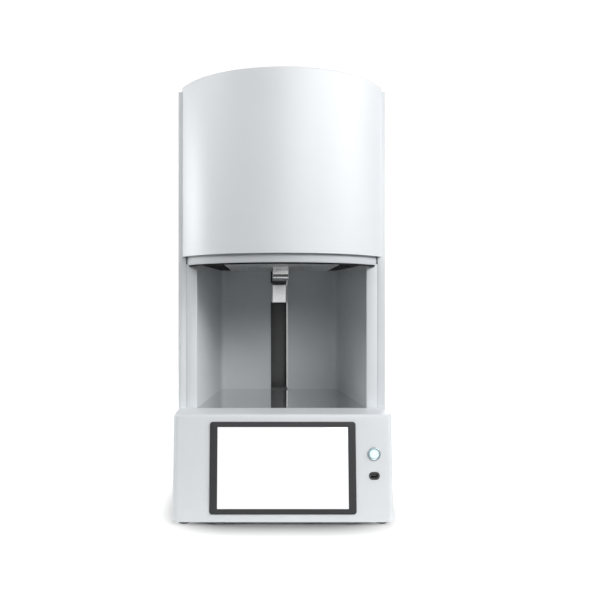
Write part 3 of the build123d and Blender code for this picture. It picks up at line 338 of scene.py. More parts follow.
def soften(obj, width, segments=3, angle=35):
    """Round the sharp edges of a sheet or block a little, as pressing and coating leave them."""
    bevel = obj.modifiers.new("rounded_edges", "BEVEL")
    bevel.width = width
    bevel.segments = segments
    bevel.limit_method = "ANGLE"
    bevel.angle_limit = math.radians(angle)
    bevel.harden_normals = True
    obj.data.shade_smooth()
    return obj


def thicken(obj, thickness):
    """Give a surface its sheet thickness, inwards."""
    wall = obj.modifiers.new("sheet", "SOLIDIFY")
    wall.thickness = thickness
    wall.offset = -1
    wall.use_even_offset = True
    return obj


def carve(obj, *cutters):
    """Cut these bodies out of obj and remove them."""
    for cutter in cutters:
        cut = obj.modifiers.new("opening", "BOOLEAN")
        cut.operation = "DIFFERENCE"
        cut.solver = "EXACT"
        cut.object = cutter
    finished(obj)
    for cutter in cutters:
        bpy.data.objects.remove(cutter)
    return obj


def from_mesh(name, bm, material=None):
    """A new object made from this mesh, with its faces turned outwards."""
    bmesh.ops.recalc_face_normals(bm, faces=bm.faces)
    mesh = bpy.data.meshes.new(name)
    bm.to_mesh(mesh)
    bm.free()
    obj = link(bpy.data.objects.new(name, mesh))
    if material:
        obj.data.materials.append(material)
    return obj


def fit(obj, slot, *nodes, body="root"):
    """The piece takes the place of these nodes and rides with this body; the slot is not used."""
    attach(obj, body)
    if nodes:
        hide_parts(*nodes)
    return obj


def rounded_outline(centre_x, centre_y, width, depth, radius, steps=8):
    """Outline of a rectangle with round corners, anticlockwise."""
    points = []
    for corner, (sx, sy) in enumerate(((1, 1), (-1, 1), (-1, -1), (1, -1))):
        for step in range(steps + 1):
            turn = math.radians(90 * corner + 90 * step / steps)
            points.append((
                centre_x + sx * (width / 2 - radius) + radius * math.cos(turn),
                centre_y + sy * (depth / 2 - radius) + radius * math.sin(turn),
            ))
    return points


def head_cover():
    """Front wall, rim and top in one sheet, with a rounded upper edge and the vent's opening."""
    rounding_steps = 6
    rim = [(0.0, RIM_BOTTOM)]
    for step in range(rounding_steps + 1):
        turn = math.radians(90 * step / rounding_steps)
        rim.append((
            COVER_ROUNDING * (1 - math.cos(turn)),
            COVER_TOP - COVER_ROUNDING * (1 - math.sin(turn)),
        ))
    bm = bmesh.new()
    rows = []
    for inset, z in rim:
        front = bow(inset)
        side = front[-1][0]
        back = COVER_BACK - inset
        rows.append(add_row(bm, front + [(side, back), (-side, back)], z))
    for low, high in zip(rows, rows[1:]):
        join_rows(bm, low, high, closed=True)
    bm.faces.new(rows[-1])
    lower = add_row(bm, bow(0.0), COVER_BOTTOM)
    join_rows(bm, lower, rows[0][:BOW_STEPS + 1])
    obj = from_mesh("head_cover_sheet", bm, white_coat)
    thicken(obj, COVER_SHEET)
    finished(obj)
    vent_low, vent_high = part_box("top_vent")
    lip = 0.008
    opening = bmesh.new()
    outline = rounded_outline(
        0, (vent_low[1] + vent_high[1]) / 2, vent_high[0] - vent_low[0] - 2 * lip,
        vent_high[1] - vent_low[1] - 2 * lip, 0.010,
    )
    floor = add_row(opening, outline, vent_high[2] - 0.002)
    ceiling = add_row(opening, outline, COVER_TOP + 0.005)
    join_rows(opening, floor, ceiling, closed=True)
    opening.faces.new(floor[::-1])
    opening.faces.new(ceiling)
    carve(obj, from_mesh("vent_opening", opening))
    soften(obj, 0.0005)
    fit(obj, "white_steel", "head_cover")


head_cover()

# ---- head skirt ------------------------------------------------------------------
# A second bowed ring of coated sheet, set back inside the cover's lower edge, in a grey darker
# than the cover's white: painted shade under the cover's edge. It closes the head around the
# ceiling plate and leaves the dark line under the cover. A black lip behind it is painted shade.

SKIRT_LOW, SKIRT_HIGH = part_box("head_skirt")
SKIRT_INSET = 0.008
SKIRT_SHEET = 0.002


def head_skirt():
    """Bowed band with a rolled lower edge and a flange that reaches the cover at its top."""
    flange = 0.002
    roll = 0.001
    inner = SKIRT_INSET + SKIRT_SHEET
    section = [
        (SKIRT_INSET, SKIRT_LOW[2] + roll), (SKIRT_INSET, SKIRT_HIGH[2] - flange),
        (COVER_SHEET + 0.0002, SKIRT_HIGH[2] - flange), (COVER_SHEET + 0.0002, SKIRT_HIGH[2]),
        (inner, SKIRT_HIGH[2]), (inner, SKIRT_LOW[2] + roll),
    ]
    for step in range(1, 6):
        turn = math.radians(180 * step / 6)
        section.append((
            SKIRT_INSET + roll + roll * math.cos(turn), SKIRT_LOW[2] + roll - roll * math.sin(turn),
        ))
    bm = bmesh.new()
    rows = [add_row(bm, bow(inset), z) for inset, z in section]
    for low, high in zip(rows, rows[1:] + rows[:1]):
        join_rows(bm, low, high)
    bm.faces.new([row[0] for row in rows])
    bm.faces.new([row[-1] for row in rows])
    # Painted shade: the skirt's grey is darker than the cover's white, for the shade under the cover's edge.
    obj = from_mesh("head_skirt_band", bm, powder_coat("skirt_shade_grey", (0.645, 0.672, 0.694), gloss_level=0.3))
    soften(obj, 0.0003)
    fit(obj, "white_steel", "head_skirt")


def skirt_shade_lip():
    """Black lip behind the skirt's lower edge: painted shade, a dark line where the gap under its edge is in
    shade.
    """
    play = 0.0008
    lip = 0.002
    drop = 0.0026
    near = SKIRT_INSET + SKIRT_SHEET + play
    section = [
        (near, SKIRT_LOW[2] - drop), (near, SKIRT_LOW[2] + lip),
        (near + lip, SKIRT_LOW[2] + lip), (near + lip, SKIRT_LOW[2] - drop),
    ]
    bm = bmesh.new()
    rows = [add_row(bm, bow(inset), z) for inset, z in section]
    for low, high in zip(rows, rows[1:] + rows[:1]):
        join_rows(bm, low, high)
    bm.faces.new([row[0] for row in rows])
    bm.faces.new([row[-1] for row in rows])
    black = powder_coat("shade_lip_black", (0.02, 0.02, 0.021), roughness=0.7, gloss_level=0.1)
    fit(from_mesh("skirt_shade_lip", bm, black), "rubber_black")


skirt_shade_lip()
head_skirt()

# ---- folded sheet panels -----------------------------------------------------------
# Side panels, pillar trims and rear panel: 1.5 mm steel, laser cut and folded, coated in
# the head's white. They are screwed to the frame, so no fastening shows from the front.


def dressed(node, name, width=0.0004, segments=2):
    """The node's own shape as a new piece with flat faces made whole and edges rounded."""
    bm = bmesh.new()
    bm.from_mesh(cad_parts[node].data)
    bmesh.ops.remove_doubles(bm, verts=bm.verts, dist=1e-6)
    bmesh.ops.dissolve_limit(
        bm, angle_limit=math.radians(0.5), verts=bm.verts, edges=bm.edges, delimit={"NORMAL"}
    )
    obj = from_mesh(name, bm)
    if width:
        soften(obj, width, segments, angle=40)
    else:
        obj.data.shade_smooth()
        obj.data.set_sharp_from_angle(angle=math.radians(30))
    return obj


def coated(node, name, material, slot, width=0.0004, body="root"):
    """A dressed node with this finish, in the node's place."""
    obj = dressed(node, name, width)
    obj.data.materials.clear()
    obj.data.materials.append(material)
    return fit(obj, slot, node, body=body)


coated("left_side_panel", "left_panel_sheet", white_coat, "white_steel", 0.0006)
coated("right_side_panel", "right_panel_sheet", white_coat, "white_steel", 0.0006)
coated("pillar_trims", "pillar_trim_strips", white_coat, "white_steel", 0.0004)
coated("rear_panel", "rear_panel_sheet", white_coat, "white_steel", 0)
coated("top_vent", "top_vent_louvres", white_coat, "white_steel", 0)

# ---- loading bay -------------------------------------------------------------------
# Liner of pale grey coated sheet: two side walls that close in towards the back and turn
# into it on a soft radius, and a back wall with the slot that the lift's arm comes
# through. The floor is a plate enamelled metallic grey, glossy enough to mirror the walls.

bay_coat = powder_coat("bay_grey_coat", (0.690, 0.715, 0.732), roughness=0.6, gloss_level=0.2)
coated("bay_side_walls", "bay_liner_sides", bay_coat, "bay_grey", 0)
coated("bay_back_wall", "bay_liner_back", bay_coat, "bay_grey", 0)


def enamel(name, colour):
    """Fired enamel: a clear glaze over a faintly clouded metallic grey, mirror-like at a low angle."""
    material, nodes, links, shader = nodes_of(name)
    place = nodes.new("ShaderNodeTexCoord")
    cloud = nodes.new("ShaderNodeTexNoise")
    cloud.inputs["Scale"].default_value = 14.0
    cloud.inputs["Detail"].default_value = 4.0
    links.new(place.outputs["Object"], cloud.inputs["Vector"])
    tone = nodes.new("ShaderNodeValToRGB")
    tone.color_ramp.elements[0].color = (*[part * 0.94 for part in colour], 1)
    tone.color_ramp.elements[1].color = (*[part * 1.04 for part in colour], 1)
    links.new(cloud.outputs["Fac"], tone.inputs["Fac"])
    links.new(tone.outputs["Color"], shader.inputs["Base Color"])
    shader.inputs["Metallic"].default_value = 0.8
    shader.inputs["Coat Weight"].default_value = 1.0
    shader.inputs["Coat IOR"].default_value = 1.6
    shader.inputs["Coat Roughness"].default_value = 0.02
    gloss = nodes.new("ShaderNodeMapRange")
    gloss.inputs["To Min"].default_value = 0.03
    gloss.inputs["To Max"].default_value = 0.07
    links.new(cloud.outputs["Fac"], gloss.inputs["Value"])
    links.new(gloss.outputs["Result"], shader.inputs["Roughness"])
    return material


coated("bay_floor", "bay_floor_plate", enamel("grey_enamel", (0.55, 0.57, 0.58)), "bay_floor_gloss", 0)


def steel(name, colour, roughness=0.3, stretch=(1, 60, 1), scale=40.0, depth=0.1):
    """Bare steel or alloy with fine brushing; the brushing runs along the axis left at 1."""
    material, nodes, links, shader = nodes_of(name)
    shader.inputs["Metallic"].default_value = 1.0
    place = nodes.new("ShaderNodeTexCoord")
    turn = nodes.new("ShaderNodeMapping")
    turn.inputs["Scale"].default_value = stretch
    links.new(place.outputs["Object"], turn.inputs["Vector"])
    lines = nodes.new("ShaderNodeTexNoise")
    lines.inputs["Scale"].default_value = scale
    lines.inputs["Detail"].default_value = 5.0
    links.new(turn.outputs["Vector"], lines.inputs["Vector"])
    tone = nodes.new("ShaderNodeValToRGB")
    tone.color_ramp.elements[0].position = 0.35
    tone.color_ramp.elements[0].color = (*[part * 0.88 for part in colour], 1)
    tone.color_ramp.elements[1].position = 0.65
    tone.color_ramp.elements[1].color = (*colour, 1)
    links.new(lines.outputs["Fac"], tone.inputs["Fac"])
    links.new(tone.outputs["Color"], shader.inputs["Base Color"])
    gloss = nodes.new("ShaderNodeMapRange")
    gloss.inputs["To Min"].default_value = max(roughness - 0.07, 0.03)
    gloss.inputs["To Max"].default_value = roughness + 0.07
    links.new(lines.outputs["Fac"], gloss.inputs["Value"])
    links.new(gloss.outputs["Result"], shader.inputs["Roughness"])
    bump = nodes.new("ShaderNodeBump")
    bump.inputs["Strength"].default_value = depth
    bump.inputs["Distance"].default_value = 0.0001
    links.new(lines.outputs["Fac"], bump.inputs["Height"])
    links.new(bump.outputs["Normal"], shader.inputs["Normal"])
    return material


stainless = steel("brushed_stainless", (0.70, 0.705, 0.71))

# ---- slot rail -----------------------------------------------------------------------
# A slim bare metal rail stands just behind the slot's right edge, beside the arm's way up and
# down. It shows as a fine bright line along the dark strip. A black strip on the sill is painted
# shade, so that the slot reads dark down to the floor.

SLOT_HALF = 0.018
SLOT_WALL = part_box("bay_back_wall")
ARM_LOW, ARM_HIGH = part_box("lift_arm")


def slab(name, outline, low, high, material=None):
    """A flat body of this outline between two heights."""
    bm = bmesh.new()
    floor = add_row(bm, outline, low)
    ceiling = add_row(bm, outline, high)
    join_rows(bm, floor, ceiling, closed=True)
    bm.faces.new(floor[::-1])
    bm.faces.new(ceiling)
    return from_mesh(name, bm, material)


def slot_rail():
    """Square rail from the slot's sill to the head, clear of the arm's root."""
    width = 0.0018
    depth = 0.004
    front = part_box("arm_root_cover")[1][1] + 0.0005
    bright = steel("bright_rail", (0.90, 0.905, 0.91), roughness=0.24, stretch=(60, 60, 1))
    back = front + depth
    outline = [
        (SLOT_HALF - width, front), (SLOT_HALF, front), (SLOT_HALF, back), (SLOT_HALF - width, back),
    ]
    rail = slab("slot_rail", outline, SLOT_WALL[0][2] + 0.003, SLOT_WALL[1][2] - 0.002, bright)
    soften(rail, 0.0003)
    fit(rail, "shield_steel")


def sill_strip():
    """Thin black strip on the sill under the slot: painted shade, so that the slot reads dark down to the
    floor.
    """
    front = SLOT_WALL[0][1]
    strip = slab("sill_strip", [
        (-SLOT_HALF, front - 0.0004), (SLOT_HALF, front - 0.0004), (SLOT_HALF, front), (-SLOT_HALF, front),
    ], SLOT_WALL[0][2] + 0.0001, SLOT_WALL[0][2] + 0.0032, powder_coat("sill_shade_black", (0.05, 0.05, 0.052)))
    fit(strip, "column_black")


slot_rail()
sill_strip()

# ---- underside of the head ------------------------------------------------------------
# A light stainless shield under the ceiling plate, with the throat that the plug closes. The
# plate is coated black: painted shade for the dark under the head round the shield. Six low
# pan-head screws hold the shield.

# Painted shade: the ceiling plate is black, for the dark under the head.
ceiling_shade_black = powder_coat("ceiling_shade_black", (0.020, 0.021, 0.022), roughness=0.6, gloss_level=0.1)
coated("ceiling_plate", "ceiling_plate_sheet", ceiling_shade_black, "frame_steel", 0)
shield_steel = steel("shield_steel", (0.80, 0.805, 0.81), roughness=0.42, stretch=(1, 30, 1))
coated("light_shield", "light_shield_sheet", shield_steel, "shield_steel", 0)


def lathe(name, profile, material, place, axis="Z", steps=48):
    """Turned piece: profile gives (radius, height) pairs, spun about the axis through place."""
    bm = bmesh.new()
    rows = []
    for radius, height in profile:
        row = []
        for step in range(steps):
            turn = 2 * math.pi * step / steps
            u = radius * math.cos(turn)
            v = radius * math.sin(turn)
            offset = {
                "Z": (u, v, height), "-Z": (u, -v, -height), "Y": (-u, height, v), "-Y": (u, -height, v),
            }[axis]
            row.append(bm.verts.new(Vector(place) + Vector(offset)))
        rows.append(row)
    for low, high in zip(rows, rows[1:]):
        join_rows(bm, low, high, closed=True)
    bm.faces.new(rows[0])
    bm.faces.new(rows[-1])
    obj = from_mesh(name, bm, material)
    obj.data.shade_smooth()
    obj.data.set_sharp_from_angle(angle=math.radians(40))
    return obj


def pan_head(radius, height):
    """Profile of a low domed screw head."""
    steps = 5
    dome = [
        (radius * math.cos(math.radians(80 * step / steps)),
         height * (0.35 + 0.65 * math.sin(math.radians(80 * step / steps)) / math.sin(math.radians(80))))
        for step in range(steps + 1)
    ]
    return [(radius, 0.0)] + dome


def merged(name, objects):
    """Several objects joined into one piece."""
    bm = bmesh.new()
    for obj in objects:
        bm.from_mesh(obj.data)
    material = objects[0].data.materials[0]
    for obj in objects:
        bpy.data.objects.remove(obj)
    joined = from_mesh(name, bm, material)
    joined.data.shade_smooth()
    joined.data.set_sharp_from_angle(angle=math.radians(40))
    return joined


def shield_screws():
    """Screws along the shield's long sides, driven up into the ceiling plate."""
    low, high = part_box("light_shield")
    heads = []
    for side in (low[0] + 0.008, high[0] - 0.008):
        for share in (0.08, 0.5, 0.92):
            y = low[1] + share * (high[1] - low[1])
            heads.append(lathe("head", pan_head(0.003, 0.0016), stainless, (side, y, low[2]), "-Z", 20))
    fit(merged("shield_screws", heads), "shield_steel")


shield_screws()

# ---- console shell ---------------------------------------------------------------------
# One-piece wedge of 3 mm sheet in front of the tower's foot, welded, ground and coated
# white. Its face leans back six degrees and is cut out for the screen, button and port.

CONSOLE_LOW, CONSOLE_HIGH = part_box("console_shell")
DECK_DEPTH = 0.068
TOE_DEPTH = 0.086
CONSOLE_CORNER = 0.010
DECK_ROUNDING = 0.004
CONSOLE_SHEET = 0.003
LEAN = math.atan2(TOE_DEPTH - DECK_DEPTH, CONSOLE_HIGH[2] - CONSOLE_LOW[2])
PANEL_UP = Vector((0, math.sin(LEAN), math.cos(LEAN)))
PANEL_OUT = Vector((0, -math.cos(LEAN), math.sin(LEAN)))
PANEL_FOOT = Vector((0, CONSOLE_LOW[1], CONSOLE_LOW[2]))


def on_panel(x, rise, height=0.0):
    """Matrix of a place on the console's face: x to the right, y up the slope, z outwards."""
    place = PANEL_FOOT + Vector((x, 0, 0)) + PANEL_UP * rise + PANEL_OUT * height
    return Matrix((
        (1, 0, 0, place.x), (0, PANEL_UP.y, PANEL_OUT.y, place.y),
        (0, PANEL_UP.z, PANEL_OUT.z, place.z), (0, 0, 0, 1),
    ))


def panel_place(node):
    """X, rise and height on the console's face of the middle of a node's box."""
    low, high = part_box(node)
    middle = (Vector(low) + Vector(high)) / 2 - PANEL_FOOT
    return middle.x, middle.dot(PANEL_UP), middle.dot(PANEL_OUT)


SCREEN_RISE = panel_place("display_glass")[1]
CONTROL_X = panel_place("start_button")[0]
BUTTON_RISE = panel_place("button_ring")[1]
PORT_RISE = panel_place("port_bezel")[1]


def console_shell():
    """Leaning walls with round corners, a rounded deck edge and three openings."""
    half = CONSOLE_HIGH[0]
    back = CONSOLE_HIGH[1]
    section = [(0.0, CONSOLE_LOW[2]), (0.0, CONSOLE_HIGH[2] - DECK_ROUNDING)]
    for step in range(1, 7):
        turn = math.radians(90 * step / 6)
        section.append((
            DECK_ROUNDING * (1 - math.cos(turn)), CONSOLE_HIGH[2] - DECK_ROUNDING * (1 - math.sin(turn)),
        ))
    bm = bmesh.new()
    rows = []
    for inset, z in section:
        front = CONSOLE_LOW[1] + (z - CONSOLE_LOW[2]) * math.tan(LEAN) + inset
        side = half - inset
        radius = CONSOLE_CORNER - inset
        outline = [(-side, back)]
        for step in range(13):
            turn = math.radians(90 * step / 12)
            outline.append((
                -side + radius * (1 - math.cos(turn)), front + radius * (1 - math.sin(turn)),
            ))
        outline += [(-x, y) for x, y in reversed(outline)]
        rows.append(add_row(bm, outline, z))
    for low, high in zip(rows, rows[1:]):
        join_rows(bm, low, high)
    bm.faces.new(rows[-1])
    obj = from_mesh("console_sheet", bm, white_coat)
    thicken(obj, CONSOLE_SHEET)
    finished(obj)
    through = 0.012
    cutters = []
    for x, rise, width, height, radius in (
        (0, SCREEN_RISE, 0.2294, 0.1444, 0.002),
        (CONTROL_X, BUTTON_RISE, 0.019, 0.019, 0.0094),
        (CONTROL_X, PORT_RISE, 0.0144, 0.0084, 0.0005),
    ):
        cutter = slab("cutter", rounded_outline(0, 0, width, height, radius), -through, through)
        cutter.data.transform(on_panel(x, rise))
        cutters.append(cutter)
    carve(obj, *cutters)
    soften(obj, 0.0004, angle=50)
    fit(obj, "white_steel", "console_shell")


console_shell()

# ---- screen ------------------------------------------------------------------------------
# Ten-inch wide panel behind cover glass in a dark grey anodised frame that stands 2 mm proud
# of the console. The picture is lit and plain white.

BEZEL_WIDTH = 0.245
BEZEL_HEIGHT = 0.152
BEZEL_CORNER = 0.005
BEZEL_PROUD = 0.002


def plastic(name, colour, roughness=0.4, grain=0.08, scale=1200.0, gloss_level=0.5):
    """Moulded or anodised surface with a very fine texture and a little change in gloss."""
    material, nodes, links, shader = nodes_of(name)
    place = nodes.new("ShaderNodeTexCoord")
    speck = nodes.new("ShaderNodeTexNoise")
    speck.inputs["Scale"].default_value = scale
    speck.inputs["Detail"].default_value = 2.0
    links.new(place.outputs["Object"], speck.inputs["Vector"])
    cloud = nodes.new("ShaderNodeTexNoise")
    cloud.inputs["Scale"].default_value = 20.0
    links.new(place.outputs["Object"], cloud.inputs["Vector"])
    tone = nodes.new("ShaderNodeValToRGB")
    tone.color_ramp.elements[0].color = (*[part * 0.9 for part in colour], 1)
    tone.color_ramp.elements[1].color = (*[min(part * 1.05, 1.0) for part in colour], 1)
    links.new(cloud.outputs["Fac"], tone.inputs["Fac"])
    links.new(tone.outputs["Color"], shader.inputs["Base Color"])
    shader.inputs["Specular IOR Level"].default_value = gloss_level
    gloss = nodes.new("ShaderNodeMapRange")
    gloss.inputs["To Min"].default_value = max(roughness - 0.05, 0.02)
    gloss.inputs["To Max"].default_value = roughness + 0.05
    links.new(cloud.outputs["Fac"], gloss.inputs["Value"])
    links.new(gloss.outputs["Result"], shader.inputs["Roughness"])
    bump = nodes.new("ShaderNodeBump")
    bump.inputs["Strength"].default_value = grain
    bump.inputs["Distance"].default_value = 0.0001
    links.new(speck.outputs["Fac"], bump.inputs["Height"])
    links.new(bump.outputs["Normal"], shader.inputs["Normal"])
    return material


def display_bezel():
    """Flat frame with a softened rim and an opening chamfered down to the glass."""
    outer_steps = 6
    rings = []
    for inset, height in (
        (0.0, 0.0), (0.0, BEZEL_PROUD - 0.0008), (0.0003, BEZEL_PROUD - 0.0002), (0.0010, BEZEL_PROUD),
    ):
        rings.append((rounded_outline(
            0, 0, BEZEL_WIDTH - 2 * inset, BEZEL_HEIGHT - 2 * inset, BEZEL_CORNER - inset, outer_steps,
        ), height))
    glass_width, glass_height = 0.2194, 0.1344
    for spread, height in ((0.0009, BEZEL_PROUD), (0.0, BEZEL_PROUD - 0.0009), (0.0, 0.0)):
        rings.append((rounded_outline(
            0, 0, glass_width + 2 * spread, glass_height + 2 * spread, 0.001 + spread, outer_steps,
        ), height))
    bm = bmesh.new()
    rows = [add_row(bm, outline, height) for outline, height in rings]
    for low, high in zip(rows, rows[1:] + rows[:1]):
        join_rows(bm, low, high, closed=True)
    dark = plastic("dark_anodised", (0.050, 0.051, 0.054), roughness=0.42, gloss_level=0.2)
    obj = from_mesh("screen_frame", bm, dark)
    obj.data.transform(on_panel(0, SCREEN_RISE))
    obj.data.shade_smooth()
    obj.data.set_sharp_from_angle(angle=math.radians(25))
    fit(obj, "bezel_black", "display_bezel")


def lit_picture():
    """Clear gloss over an evenly lit white picture that falls off a touch at its edges."""
    material, nodes, links, shader = nodes_of("lit_picture")
    place = nodes.new("ShaderNodeTexCoord")
    fall = nodes.new("ShaderNodeTexGradient")
    fall.gradient_type = "SPHERICAL"
    centre = nodes.new("ShaderNodeMapping")
    middle = on_panel(0, SCREEN_RISE).to_translation()
    centre.inputs["Location"].default_value = (0, -middle.y * 3, -middle.z * 3)
    centre.inputs["Scale"].default_value = (3, 3, 3)
    links.new(place.outputs["Object"], centre.inputs["Vector"])
    links.new(centre.outputs["Vector"], fall.inputs["Vector"])
    tone = nodes.new("ShaderNodeValToRGB")
    tone.color_ramp.elements[0].color = (0.90, 0.91, 0.92, 1)
    tone.color_ramp.elements[1].position = 0.5
    tone.color_ramp.elements[1].color = (1.0, 1.0, 1.0, 1)
    links.new(fall.outputs["Color"], tone.inputs["Fac"])
    links.new(tone.outputs["Color"], shader.inputs["Emission Color"])
    shader.inputs["Emission Strength"].default_value = 0.98
    shader.inputs["Base Color"].default_value = (0.02, 0.02, 0.02, 1)
    speck = nodes.new("ShaderNodeTexNoise")
    speck.inputs["Scale"].default_value = 30.0
    gloss = nodes.new("ShaderNodeMapRange")
    gloss.inputs["To Min"].default_value = 0.05
    gloss.inputs["To Max"].default_value = 0.09
    links.new(speck.outputs["Fac"], gloss.inputs["Value"])
    links.new(gloss.outputs["Result"], shader.inputs["Roughness"])
    return material


display_bezel()
coated("display_glass", "screen_glass_pane", lit_picture(), "screen_glass", 0.0002)

# ---- start button ---------------------------------------------------------------------------
# A 19 mm push button: a turned stainless ring screwed through the console, and a frosted cap
# that is lit pale cyan from below through a light ring round its edge.


def glow(name, colour, edge, strength, radius):
    """Frosted plastic lit from inside, brighter and whiter towards its middle."""
    material, nodes, links, shader = nodes_of(name)
    place = nodes.new("ShaderNodeTexCoord")
    centre = nodes.new("ShaderNodeMapping")
    middle = on_panel(CONTROL_X, BUTTON_RISE, 0.004).to_translation()
    centre.inputs["Scale"].default_value = (1 / radius, 1 / radius, 1 / radius)
    centre.inputs["Location"].default_value = tuple(-part / radius for part in middle)
    links.new(place.outputs["Object"], centre.inputs["Vector"])
    fall = nodes.new("ShaderNodeTexGradient")
    fall.gradient_type = "SPHERICAL"
    links.new(centre.outputs["Vector"], fall.inputs["Vector"])
    tone = nodes.new("ShaderNodeValToRGB")
    tone.color_ramp.elements[0].color = (*edge, 1)
    tone.color_ramp.elements[1].position = 0.55
    tone.color_ramp.elements[1].color = (*colour, 1)
    links.new(fall.outputs["Color"], tone.inputs["Fac"])
    links.new(tone.outputs["Color"], shader.inputs["Emission Color"])
    shader.inputs["Base Color"].default_value = (0.20, 0.24, 0.25, 1)
    shader.inputs["Emission Strength"].default_value = strength
    shader.inputs["Roughness"].default_value = 0.3
    shader.inputs["Coat Weight"].default_value = 0.5
    return material


def start_button():
    """Ring with a dished inner slope, and a cap with a groove round its flat face."""
    ring = [
        (0.0093, -0.030), (0.0093, 0.0), (0.0110, 0.0), (0.0110, 0.0011), (0.0106, 0.0017),
        (0.0100, 0.0020), (0.0092, 0.0020), (0.0080, 0.0013), (0.00785, 0.0008), (0.00785, -0.026),
    ]
    bm = bmesh.new()
    rows = []
    for radius, height in ring:
        rows.append([
            bm.verts.new((
                radius * math.cos(math.radians(turn)), radius * math.sin(math.radians(turn)), height,
            ))
            for turn in range(0, 360, 6)
        ])
    for low, high in zip(rows, rows[1:] + rows[:1]):
        join_rows(bm, low, high, closed=True)
    satin = steel("satin_ring", (0.34, 0.38, 0.40), roughness=0.26, stretch=(1, 1, 1), depth=0.02)
    obj = from_mesh("button_ring_turned", bm, satin)
    obj.data.transform(on_panel(CONTROL_X, BUTTON_RISE))
    obj.data.shade_smooth()
    obj.data.set_sharp_from_angle(angle=math.radians(35))
    fit(obj, "ring_metal", "button_ring")
    top = 0.0045
    cap = lathe("button_cap_frosted", [
        (0.0077, top - 0.012), (0.0077, top - 0.0014), (0.0074, top - 0.0005), (0.0068, top - 0.0001),
        (0.0066, top - 0.0001), (0.0065, top - 0.0004), (0.0063, top - 0.0004), (0.0062, top),
        (0.0040, top), (0.0010, top),
    ], glow("lit_cap", (0.84, 0.98, 1.0), (0.42, 0.74, 0.80), 0.86, 0.0105), (0, 0, 0), "Z", 64)
    cap.data.transform(on_panel(CONTROL_X, BUTTON_RISE))
    fit(cap, "button_light", "start_button", body="start_button")


start_button()

# ---- data port ------------------------------------------------------------------------------
# Oval moulded surround with the stamped steel shell of the socket behind it, and the socket's
# black tongue with its four gold contacts.


def data_port():
    """Surround with a dished edge, and contacts laid on the tongue."""
    width, height, proud = 0.018, 0.013, 0.0012
    mouth_width, mouth_height = 0.014, 0.008
    rings = []
    for inset, z in ((0.0, 0.0), (0.0, proud - 0.0005), (0.0005, proud)):
        rings.append((rounded_outline(
            0, 0, width - 2 * inset, height - 2 * inset, height / 2 - 0.0002 - inset, 10,
        ), z))
    for spread, z in ((0.0005, proud), (0.0, proud - 0.0006), (0.0, 0.0)):
        rings.append((rounded_outline(
            0, 0, mouth_width + 2 * spread, mouth_height + 2 * spread, 0.0008 + spread, 10,
        ), z))
    bm = bmesh.new()
    rows = [add_row(bm, outline, z) for outline, z in rings]
    for low, high in zip(rows, rows[1:] + rows[:1]):
        join_rows(bm, low, high, closed=True)
    dark = plastic("port_moulding", (0.055, 0.056, 0.059), roughness=0.5, gloss_level=0.3)
    obj = from_mesh("port_surround", bm, dark)
    obj.data.transform(on_panel(CONTROL_X, PORT_RISE))
    obj.data.shade_smooth()
    obj.data.set_sharp_from_angle(angle=math.radians(30))
    fit(obj, "port_black", "port_bezel")
    coated("data_socket", "socket_shell", steel("stamped_shell", (0.12, 0.12, 0.125), 0.5, (1, 1, 1)),
           "module_metal", 0)
    gold = steel("gold_contacts", (0.95, 0.72, 0.32), roughness=0.2, stretch=(1, 1, 1))
    contacts = []
    for step in range(4):
        x = (step - 1.5) * 0.0024
        strip = slab("contact", rounded_outline(x, 0, 0.0010, 0.0002, 0.00009, 2), -0.0140, -0.0063, gold)
        strip.data.transform(Matrix.Translation((0, 0.0009, 0)))
        strip.data.transform(on_panel(CONTROL_X, PORT_RISE))
        contacts.append(strip)
    fit(merged("socket_contacts", contacts), "module_metal")


data_port()

# ---- rubber feet ----------------------------------------------------------------------------
# Four turned black rubber feet with a rounded tread, screwed up into the base pan.


def rubber_feet():
    """Feet with a waist and a rounded sole, where the base pan has them."""
    low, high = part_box("rubber_feet")
    radius = 0.010
    soft = plastic("black_rubber", (0.022, 0.022, 0.023), roughness=0.75, grain=0.3, scale=700.0)
    profile = [
        (radius - 0.0014, 0.0), (radius - 0.0005, 0.0004), (radius - 0.0001, 0.0013), (radius, 0.0030),
        (radius - 0.0003, 0.0050), (radius - 0.0008, high[2]),
    ]
    feet = [
        lathe("foot", profile, soft, (x, y, 0), "Z", 36)
        for x in (low[0] + radius, high[0] - radius)
        for y in (low[1] + radius, high[1] - radius)
    ]
    fit(merged("rubber_feet_turned", feet), "rubber_black", "rubber_feet")


rubber_feet()

# ---- lift column ---------------------------------------------------------------------------
# Black anodised channel that stands on the base pan behind the bay. A black cover strip runs
# up its open front, and shows as the dark band in the slot.

black_anodised = plastic("black_anodised", (0.030, 0.030, 0.032), roughness=0.34)
strip_finish = plastic("strip_finish", (0.080, 0.080, 0.082), roughness=0.5)
coated("lift_column", "lift_column_channel", black_anodised, "column_black", 0.0005)
coated("column_strip", "column_cover_strip", strip_finish, "column_black", 0.0005)

# ---- lift drive ----------------------------------------------------------------------------
# Ten-millimetre screw with a four-start thread in a bronze nut, between two ball bearings set
# in aluminium blocks, with a ground guide rod at each side. A stepper motor turns the screw.

SCREW_LOW, SCREW_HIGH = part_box("lift_screw")
SCREW_Y = (SCREW_LOW[1] + SCREW_HIGH[1]) / 2
SCREW_RADIUS = 0.005
SCREW_LEAD = 0.010
SCREW_STARTS = 4
BLOCK_LOW, BLOCK_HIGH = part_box("bearing_blocks")
LOWER_BLOCK_TOP = BLOCK_LOW[2] + 0.016
UPPER_BLOCK_BOTTOM = BLOCK_HIGH[2] - 0.012

alloy = steel("machined_alloy", (0.66, 0.67, 0.68), 0.34, stretch=(1, 1, 14), scale=60.0, depth=0.05)
ground_steel = steel("ground_steel", (0.72, 0.725, 0.73), roughness=0.16, stretch=(1, 1, 30), depth=0.03)


